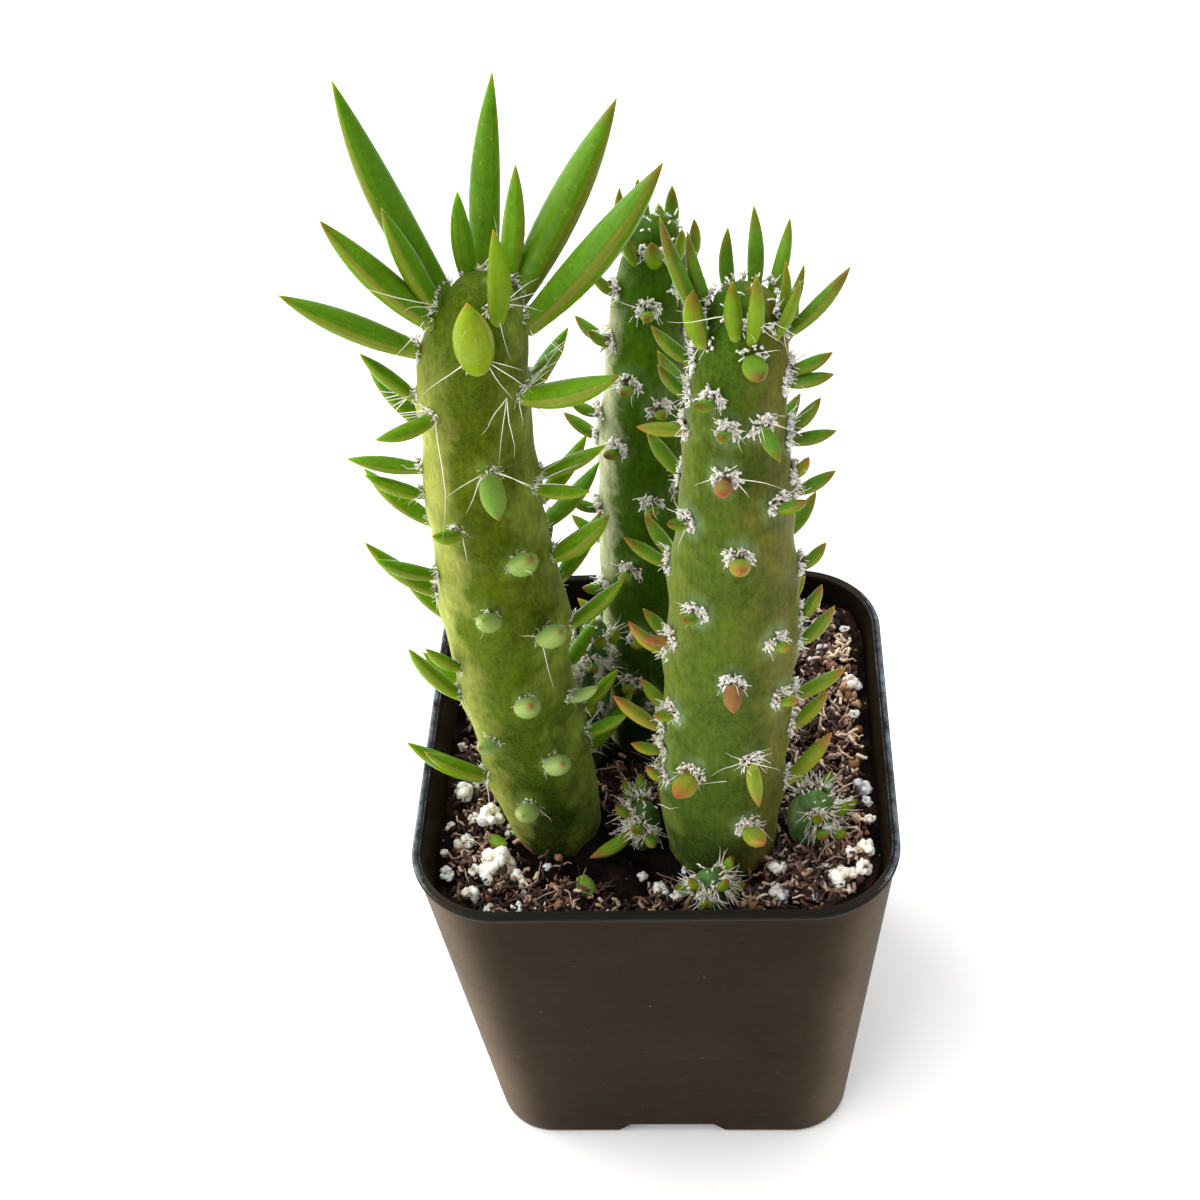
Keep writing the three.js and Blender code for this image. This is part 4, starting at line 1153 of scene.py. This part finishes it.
class CACTUS_OT_pot(bpy.types.Operator):
    """Makes the nursery pot: a section carried round a square with round corners."""

    bl_idname = "cactus.pot"
    bl_label = "Pot"

    def execute(self, context):
        settings = context.scene.cactus_pot
        tall = settings.height / (POT["height"] * MM)
        z, inset = np.array(POT_SECTION).T
        half, corner = pot_wall(z)
        ring = square_rings(half - inset, corner - inset, settings.corner_steps, 14)
        rise = np.broadcast_to((z * tall)[:, None, None], (*ring.shape[:2], 1))
        # The lip's two edges carry a painted highlight, most on the sides that face left and right.
        turn = np.abs(ring[..., 0]) - np.abs(ring[..., 1])
        side = np.clip(turn / 8 + 0.5, 0, 1)
        edges = 0.5 * np.exp(-(((inset + 0.14) / 0.12) ** 2))
        edges = (edges + 0.6 * np.exp(-(((inset - 0.66) / 0.1) ** 2)))[:, None]
        flat = np.exp(-(((inset - 0.16) / 0.3) ** 4))[:, None]
        rubbed = np.clip(edges * (0.25 + 0.3 * side) + 0.3 * flat * side, 0, 1)
        surface = closed_surfaces(
            np.zeros((1, 3)),
            np.concatenate([ring, rise], axis=2)[None],
            np.array([[0, 0, POT["floor"]]]),
            corner=(0, np.exp(-((turn / 5) ** 2)), 0),
            rubbed=(0, (z > 53.4)[:, None] * rubbed, 0),
            # Painted shade: the inside of the wall and the floor are marked to be painted near
            # black.
            inner=(0, (inset > 0.8)[:, None], 1),
        )
        material = polypropylene(tuple(settings.wall), tuple(settings.dust))
        piece = mesh_piece("pot_wall", surface, material, ["pot"])
        cutters = self.cutters()
        cut = piece.modifiers.new("cut", "BOOLEAN")
        cut.operation, cut.solver, cut.object = "DIFFERENCE", "EXACT", cutters
        context.view_layer.update()
        result = piece.evaluated_get(context.evaluated_depsgraph_get())
        mesh = bpy.data.meshes.new_from_object(result)
        piece.modifiers.clear()
        piece.data = mesh
        bpy.data.objects.remove(cutters)
        mesh.set_sharp_from_angle(angle=np.radians(38))
        return {"FINISHED"}

    def cutters(self):
        """Four tapered prisms for the notches and four rods for the drain holes."""
        solids = []
        wide, slope, high = POT["notch_wide"] / 2, POT["notch_slope"], POT["notch_tall"]
        profile = np.array([(-wide - slope, -1), (wide + slope, -1), (wide, high), (-wide, high)])
        for side in range(4):
            angle = np.pi / 2 * side
            basis = np.array([[np.cos(angle), np.sin(angle)], [-np.sin(angle), np.cos(angle)]])
            prism, rod = np.zeros((1, 2, 4, 3)), np.zeros((1, 2, 24, 3))
            for number, deep in enumerate((POT["notch_deep"], -POT["notch_deep"])):
                level = np.full(4, deep - POT["foot_half"])
                prism[0, number, :, :2] = np.stack([profile[:, 0], level], -1) @ basis
                prism[0, number, :, 2] = profile[:, 1]
            centre = POT["drain_offset"] * circle(np.pi / 2 * (side + 0.5))
            rod[..., :2] = centre + POT["drain_radius"] * circle(around(24))
            rod[0, :, :, 2] = [[-1], [3]]
            for rings in (prism, rod):
                solids.append(closed_surfaces(rings[:, 0].mean(1), rings, rings[:, 1].mean(1)))
        points, quads, caps, _ = joined(solids)
        mesh = bpy.data.meshes.new("cutters")
        mesh.from_pydata((points * MM).tolist(), [], quads.tolist() + caps.tolist())
        return bpy.data.objects.new("cutters", mesh)


class CACTUS_OT_soil(bpy.types.Operator):
    """Makes the potting mix: rings of the pot's shape, shrunk to the middle and lifted by the
    frame's waves plus clods at three sizes of smooth noise."""

    bl_idname = "cactus.soil"
    bl_label = "Potting Mix"

    def execute(self, context):
        settings = context.scene.cactus_soil
        inset, bottom = POT["wall"] + 0.3, POT["floor"] + 0.3
        half, corner = pot_wall(SOIL["level"] - 1.5)
        share = np.linspace(1, 0.02, 100)
        top = square_rings((half - inset) * share, (corner - inset) * share, 24, 60)
        x, y = top[..., 0], top[..., 1]
        clods = sum(
            size * lattice_noise(x / span + seed, y / span + seed, seed)
            for seed, (span, size) in enumerate(((2.6, 1.0), (1.2, 0.7), (0.55, 0.45)), 3)
        )
        clod = settings.clod / MM * clods * np.minimum(1, 12 * (1 - share[:, None]) + 0.1)
        z = soil_height(x, y) + clod
        low_half, low_corner = pot_wall(bottom)
        low = square_rings(low_half - inset, low_corner - inset, 24, 60)
        low = np.concatenate([low, np.full((1, low.shape[1], 1), bottom)], axis=2)
        # Painted shade: darker by the stems' feet, in the hollow in front of them and where clods
        # dip.
        near = np.clip(1 - foot_distance(x, y) / 2.5, 0, 1)
        shade = np.clip(0.75 * near + 0.9 * bell(x, y, *HOLLOW) - 0.35 * clods, 0, 0.95)
        surface = closed_surfaces(
            np.array([[0, 0, bottom]]),
            np.concatenate([low, np.concatenate([top, z[..., None]], axis=2)])[None],
            np.array([[0, 0, soil_height(0.0, 0.0)]]),
            shade=(1, np.concatenate([np.ones((1, low.shape[1])), shade]), 0),
        )
        material = potting_mix(tuple(settings.dark), tuple(settings.light))
        mesh_piece("soil_bed", surface, material, ["soil"])
        return {"FINISHED"}


def litter_share(x, y):
    """How thickly litter lies: full by the right wall, less at the front and the left, and
    little between the stems and in the moist hollow in front of them."""
    right = np.clip((x - 11) / 5, 0, 1)
    front = 0.5 * np.clip((-y - 18) / 4, 0, 1)
    left = 0.4 * np.clip((-x - 17) / 4, 0, 1)
    return np.clip(0.28 + right + front + left - 0.7 * bell(x, y, *HOLLOW), 0, 1)


def scatter_on_soil(rng, count, clearance):
    """Places inside the pot and outside the stems, by rejection from a square."""
    half = pot_wall(SOIL["level"])[0] - 1.4
    place = rng.uniform(-half, half, (12 * count, 2))
    reach = (np.abs(place / (half - clearance)) ** 8).sum(axis=1)
    thin = rng.uniform(0, 1, len(place)) < litter_share(*place.T)
    place = place[(reach < 1) & (foot_distance(*place.T) > 0.2) & thin]
    return place[:count]


class CACTUS_OT_litter(bpy.types.Operator):
    """Strews coir fibres, coir flakes and bark chips over the potting mix."""

    bl_idname = "cactus.litter"
    bl_label = "Fibres and Chips"

    def execute(self, context):
        settings = context.scene.cactus_soil
        rng = np.random.default_rng(17)
        place = scatter_on_soil(rng, settings.fibres, 2.6)
        count = len(place)
        length = rng.uniform(2.2, 6.5, count) * rng.uniform(0.6, 1, count)
        bearing = rng.uniform(0, 360, count)
        way = heading(bearing, rng.normal(6, 12, count))
        middle = place + way[:, :2] * length[:, None] / 2
        end = place + way[:, :2] * length[:, None]
        half = pot_wall(SOIL["level"])[0] - 2.2
        inside = (np.abs(end / half) ** 8).sum(axis=1) < 1
        keep = inside & (foot_distance(*middle.T) > 0.4) & (foot_distance(*end.T) > 0.2)
        place, length, way = place[keep], length[keep], way[keep]
        count = len(place)
        start = np.stack([*place.T, soil_height(*place.T) + rng.uniform(0, 0.7, count)], axis=-1)
        thick = rng.uniform(0.14, 0.36, count)
        dry = rng.beta(1.8, 2.2, count)
        curl = rng.uniform(0.06, 0.2, count)
        surface = fibre_surfaces(start, way, length, thick, curl, rng, 6, 0.4, dry)
        coir = dried_matter(
            "dry_coir_fibre",
            (
                (0.0, "#0f0706"), (0.22, "#2c1814"), (0.4, "#4c302a"), (0.55, "#7e5c4e"),
                (0.72, "#b89884"), (1.0, "#ecd6bc"),
            ),
            0.5,
        )
        mesh_piece("coir_fibres", surface, coir)
        place = scatter_on_soil(rng, settings.flakes, 1.8)
        count, heaped = len(place), self.heaped(*place.T)
        lying = rng.uniform(0, 1.0, count) + 0.9 * heaped * rng.uniform(0, 1, count)
        start = np.stack([*place.T, soil_height(*place.T) + lying], axis=-1)
        way = heading(rng.uniform(0, 360, count), rng.normal(4, 20, count))
        dry = np.clip(rng.beta(1.2, 1.7, count) + 0.62 * heaped, 0, 1)
        surface = fibre_surfaces(
            start, way, rng.uniform(0.6, 1.7, count), rng.uniform(0.26, 0.62, count),
            rng.uniform(0.1, 0.3, count), rng, 4, 0.75, dry,
        )
        mesh_piece("coir_flakes", surface, coir)
        place = scatter_on_soil(rng, settings.chips, 1.2)
        count, heaped = len(place), self.heaped(*place.T)
        size = rng.uniform(0.5, 1.5, count) * rng.uniform(0.5, 1, count)
        raised = 0.22 * size + 0.7 * heaped
        centre = np.stack([*place.T, soil_height(*place.T) + raised], axis=-1)
        dry = np.clip(rng.beta(0.7, 1.5, count) + 0.45 * heaped, 0, 1)
        surface = lump_surfaces(centre, size, rng, 0.5, dry)
        bark = dried_matter(
            "composted_bark",
            ((0.0, "#120b08"), (0.3, "#301c12"), (0.6, "#70482e"), (1.0, "#c49670")),
            0.4,
        )
        mesh_piece("bark_chips", surface, bark)
        return {"FINISHED"}

    def heaped(self, x, y):
        """1 in the middle of the pale heaps by the right wall, falling like a bell curve."""
        return sum(bell(x, y, mid_x, mid_y, 2.2, wide) for mid_x, mid_y, wide in HEAPS)


class CACTUS_OT_perlite(bpy.types.Operator):
    """Makes the perlite: lumps that are the outer reach of a cluster of balls."""

    bl_idname = "cactus.perlite"
    bl_label = "Perlite"

    def execute(self, context):
        rng = np.random.default_rng(5)
        grains = []
        for x, y, size, blue in GRAINS + SMALL_GRAINS:
            centre = np.array([x, y, soil_height(x, y) + 0.2 * size])
            grains.append(popcorn_surface(centre, size, blue, rng))
        nodes = [f"perlite_{number:02d}" for number in range(1, len(GRAINS) + 1)]
        mesh_piece("perlite_grains", joined(grains), foamed_perlite(), nodes)
        return {"FINISHED"}


class CACTUS_OT_skins(bpy.types.Operator):
    """Makes the skin of each stem and shoot."""

    bl_idname = "cactus.skins"
    bl_label = "Skins"

    def execute(self, context):
        settings = context.scene.cactus_plant
        materials = {name: cactus_skin(f"{name}_skin", **SKINS[name]) for name in SKINS}
        for name, stem in STEMS.items():
            small = name.startswith("shoot")
            sides, ring = settings.sides // (2 if small else 1), settings.ring / MM
            surface = skin_surface(stem, areoles_of(stem), sides, ring)
            material = materials["shoot" if small else name]
            mesh_piece(f"{name}_skin", surface, material, [name])
        return {"FINISHED"}


class CACTUS_OT_leaves(bpy.types.Operator):
    """Makes the leaves of each stem and shoot, and the leaves that dropped."""

    bl_idname = "cactus.leaves"
    bl_label = "Leaves"

    def execute(self, context):
        settings = context.scene.cactus_plant
        green, bloom = tuple(settings.leaf_green), tuple(settings.leaf_bloom_and_reflection)
        # Last number: upper-side paling by wax bloom and a painted reflection of the sky.
        bright = succulent_leaf("bright_succulent_leaf", green, bloom, 0.14)
        waxed = succulent_leaf("waxed_succulent_leaf", "#42660f", bloom, 0.5)
        for seed, (name, stem) in enumerate(STEMS.items()):
            at = areoles_of(stem)
            fresh = name == "stem_left"
            old = np.clip(1.4 - at["height"] / 55, 0, 1) * (at["reach"] < 6) * fresh
            tinged = np.full(len(old), 0.9 if fresh else 0.66)
            # The leaves of a crown are rooted deeper, so that their roots hide its dome.
            sunk = np.where(at["height"] > 0.945 * stem["top"], 1.8, ROOT_DEPTH)
            leaves = (at[key] for key in ("base", "bearing", "lift", "reach", "width", "ripe"))
            surface = leaf_surfaces(*leaves, old, tinged, sunk, seed)
            mesh_piece(f"{name}_leaves", surface, bright if fresh else waxed)
        x, y, bearing, lift, length, width = np.array(DROPPED, float).T
        base = np.stack([x, y, soil_height(x, y) + 0.5 * width], axis=-1)
        ripe, old, tinged = np.array([[0.25, 0.0], [0.0, 0.3], [0.95, 0.8]])
        sunk = np.full(len(x), ROOT_DEPTH)
        surface = leaf_surfaces(base, bearing, lift, length, width, ripe, old, tinged, sunk, 50)
        nodes = ["dropped_leaf_left", "dropped_leaf_front"]
        withered = succulent_leaf("withered_succulent_leaf", "#48662c", bloom, 0.15)
        mesh_piece("dropped_leaves", surface, withered, nodes)
        return {"FINISHED"}


def crown_of(stem, places):
    """Places on a stem's dome: a spiral by the golden angle, each as an areole with no leaf."""
    share = np.sqrt((np.arange(places) + 0.5) / places)
    bearing = GOLDEN_ANGLE * np.arange(places)
    height, x, y, radius = stem["line"][-1]
    out = heading(bearing, np.degrees(np.arccos(share)))
    ring = heading(bearing, 0) * (share * radius)[:, None]
    rise = (stem["top"] - height) * np.sqrt(1 - share**2)
    skin = np.array(stem["foot"]) + [x, y, height] + ring + rise[:, None] * [0, 0, 1]
    return dict(
        height=np.full(places, stem["top"]),
        width=np.full(places, 0.4),
        skin=skin - 0.3 * out,
        out=out,
        across=heading(bearing + 90, 0),
    )


class CACTUS_OT_wool(bpy.types.Operator):
    """Makes the wool: thick curls and fine hairs that stand out round each leaf's upper side."""

    bl_idname = "cactus.wool"
    bl_label = "Wool"

    def execute(self, context):
        settings = context.scene.cactus_wool
        material = areole_wool(tuple(settings.wool))
        for seed, (name, stem) in enumerate(STEMS.items()):
            rng = np.random.default_rng(100 + seed)
            at, crown = areoles_of(stem), crown_of(stem, 9)
            # full is how thick an areole's wool is; few counts the curls on the stem's dome.
            full = 0.5 if stem["wool"] < 1 else 1
            small = name.startswith("shoot")
            # The crowded areoles of a crown have less wool each, but for the left stem's.
            high = at["height"] > 0.93 * stem["top"]
            share = np.where(high, 0.9 if full < 1 else 0.25, full)
            curly, hairy = (0.3, 1.5) if small else (0.35, 3) if full < 1 else (1, 1)
            if name == "shoot_back":
                curly = 1.3
            curls = np.round(settings.curls * share * curly).astype(int)
            hairs = np.round(settings.hairs * share * hairy).astype(int)
            few = np.full(len(crown["height"]), 0 if full < 1 else 1)
            fine = (1.2, 2.4) if small else (0.7, 1.7)
            parts = [
                self.tufts(at, curls, full, (0.3, 0.75), (0.24, 0.46), 0.55, rng),
                self.tufts(at, hairs, full, fine, (0.08, 0.12), 0.4, rng),
                self.tufts(crown, few, full, (0.4, 0.9), (0.2, 0.32), 0.5, rng),
            ]
            mesh_piece(f"{name}_wool", joined(parts), material)
        return {"FINISHED"}

    def tufts(self, at, number, full, long, thick, stray, rng):
        """Curls rooted in an arc round the upper side of each leaf, that point away from it."""
        pick = np.repeat(np.arange(len(at["height"])), number)
        count = len(pick)
        turn = np.radians(rng.uniform(-130, 130, count))
        share = rng.uniform(0, 1, count)
        reach = 0.2 * at["width"][pick] + share * full * 0.95
        side, up = np.sin(turn), np.cos(turn)
        out, across, above = at["out"][pick], at["across"][pick], np.array([0, 0, 1])
        stand = 0.1 + 0.3 * (1 - share) - 0.06 * (reach * side) ** 2
        root = at["skin"][pick] + across * (reach * side)[:, None] + out * stand[:, None]
        root = root + above * (reach * up + 0.25)[:, None]
        away = across * side[:, None] + above * up[:, None]
        way = unit(out + 0.75 * away + rng.normal(0, stray, (count, 3)))
        length = rng.uniform(*long, count) * (0.3 + 0.7 * full)
        thickness = rng.uniform(*thick, count) * (0.4 + 0.6 * full)
        low = np.clip(1 - at["height"][pick] / 70, 0, 1)
        dry = np.clip(rng.normal(0.22 + 0.28 * low, 0.16), 0, 0.8)
        dry = np.where(rng.uniform(0, 1, count) < 0.22 * (1 - share) ** 2, 1.0, dry)
        curl = rng.uniform(0.04, 0.16, count)
        return fibre_surfaces(root, way, length, thickness, curl, rng, 3, 0.6, dry)


class CACTUS_OT_spines(bpy.types.Operator):
    """Makes the spines: thin, slightly bowed needles that spread from the wool."""

    bl_idname = "cactus.spines"
    bl_label = "Spines"

    def execute(self, context):
        material = horny_spine()
        for seed, (name, stem) in enumerate(STEMS.items()):
            rng = np.random.default_rng(200 + seed)
            at = areoles_of(stem)
            # How many and how long on the upper and on the lower areoles, and the dark share.
            many, less, long, short, darkened = stem["spines"]
            upper = at["height"] > 0.72 * stem["top"]
            pick = np.repeat(np.arange(len(upper)), np.where(upper, many, less))
            count = len(pick)
            turn = rng.uniform(-80, 80, count)
            way = heading(at["bearing"][pick] + turn, rng.uniform(-70, 60, count))
            length = rng.uniform(0.5, 1.2, count) + (rng.uniform(0, 1, count) > 0.9)
            length = np.where(upper[pick], long, short) * length
            root = at["skin"][pick] + at["out"][pick] * 0.3 + [0, 0, 0.5]
            root = root + at["across"][pick] * (0.8 * np.sin(np.radians(turn)))[:, None]
            dark = (rng.uniform(0, 1, count) < darkened).astype(float)
            if name in LONG_SPINES:
                first, last = np.array(LONG_SPINES[name], float).transpose(1, 0, 2)
                reach = np.linalg.norm(last - first, axis=1)
                root, way = np.concatenate([root, first]), np.concatenate([way, unit(last - first)])
                length, dark = np.append(length, reach), np.append(dark, 0 * reach)
                count = len(length)
            thick, curl = np.full(count, 0.14), rng.uniform(0.01, 0.05, count)
            surface = fibre_surfaces(root, way, length, thick, curl, rng, 6, 0.12, dark)
            mesh_piece(f"{name}_spines", surface, material)
        return {"FINISHED"}


class CACTUS_OT_stage(bpy.types.Operator):
    """Sets the stage: a plain pale floor, a window light, a fill light, sky and the camera."""

    bl_idname = "cactus.stage"
    bl_label = "Stage"

    def execute(self, context):
        scene, settings = context.scene, context.scene.cactus_stage
        mesh = bpy.data.meshes.new("floor")
        corners = [(-2, -2, 0), (2, -2, 0), (2, 2, 0), (-2, 2, 0)]
        mesh.from_pydata(corners, [], [(0, 1, 2, 3)])
        mesh.materials.append(matt_paper(tuple(settings.floor)))
        floor = bpy.data.objects.new("floor", mesh)
        scene.collection.objects.link(floor)
        floor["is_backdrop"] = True
        for name, (place, size) in LIGHTS.items():
            lamp = bpy.data.lights.new(name, "AREA")
            lamp.size = size
            lamp.energy = getattr(settings, name)
            back = unit(np.array(place) - AIM)
            right = unit(np.cross([0, 0, 1], back))
            self.put(name, lamp, right, np.cross(back, right), back, place)
        scene.world = bpy.data.worlds.new("studio")
        scene.world.use_nodes = True
        background = scene.world.node_tree.nodes["Background"]
        background.inputs[0].default_value = linear("#ffffff")
        background.inputs[1].default_value = 0.5
        scene.view_settings.view_transform = "Standard"
        camera = bpy.data.cameras.new("camera")
        camera.sensor_width = 36
        camera.lens = 57.008
        camera.clip_start = 0.01
        right, up, back, place = CAMERA
        scene.camera = self.put("camera", camera, right, up, back, np.array(place) * MM)
        return {"FINISHED"}

    def put(self, name, data, right, up, back, place):
        """Puts a light or the camera at a place in metres, turned by its three axes."""
        holder = bpy.data.objects.new(name, data)
        turned = np.eye(4)
        turned[:3] = np.stack([right, up, back, place], axis=1)
        holder.matrix_world = Matrix(turned.tolist())
        bpy.context.scene.collection.objects.link(holder)
        return holder


class CACTUS_PT_panel(bpy.types.Panel):
    bl_idname = "CACTUS_PT_panel"
    bl_label = "Potted Cactus"
    bl_space_type = "VIEW_3D"
    bl_region_type = "UI"
    bl_category = "Cactus"

    def draw(self, context):
        for operator in OPERATORS:
            self.layout.operator(operator.bl_idname)
        for name in SETTINGS:
            box = self.layout.box()
            for key in getattr(context.scene, name).__annotations__:
                box.prop(getattr(context.scene, name), key)


OPERATORS = (
    CACTUS_OT_pot, CACTUS_OT_soil, CACTUS_OT_litter, CACTUS_OT_perlite, CACTUS_OT_skins,
    CACTUS_OT_leaves, CACTUS_OT_wool, CACTUS_OT_spines, CACTUS_OT_stage,
)
SETTINGS = dict(
    cactus_pot=PotSettings, cactus_soil=SoilSettings, cactus_plant=PlantSettings,
    cactus_wool=WoolSettings, cactus_stage=StageSettings,
)


def register():
    for item in (*SETTINGS.values(), *OPERATORS, CACTUS_PT_panel):
        bpy.utils.register_class(item)
    for name, item in SETTINGS.items():
        setattr(bpy.types.Scene, name, bpy.props.PointerProperty(type=item))


def unregister():
    for name in SETTINGS:
        delattr(bpy.types.Scene, name)
    for item in reversed((*SETTINGS.values(), *OPERATORS, CACTUS_PT_panel)):
        bpy.utils.unregister_class(item)


def main():
    register()
    bpy.ops.cactus.pot()
    bpy.ops.cactus.soil()
    bpy.ops.cactus.litter()
    bpy.ops.cactus.perlite()
    bpy.ops.cactus.skins()
    bpy.ops.cactus.leaves()
    bpy.ops.cactus.wool()
    bpy.ops.cactus.spines()
    bpy.ops.cactus.stage()
    boxes = dict(cad=[list(corner) for corner in cad_box])
    boxes["visual"] = [list(corner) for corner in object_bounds()]


if __name__ == "__main__":
    main()
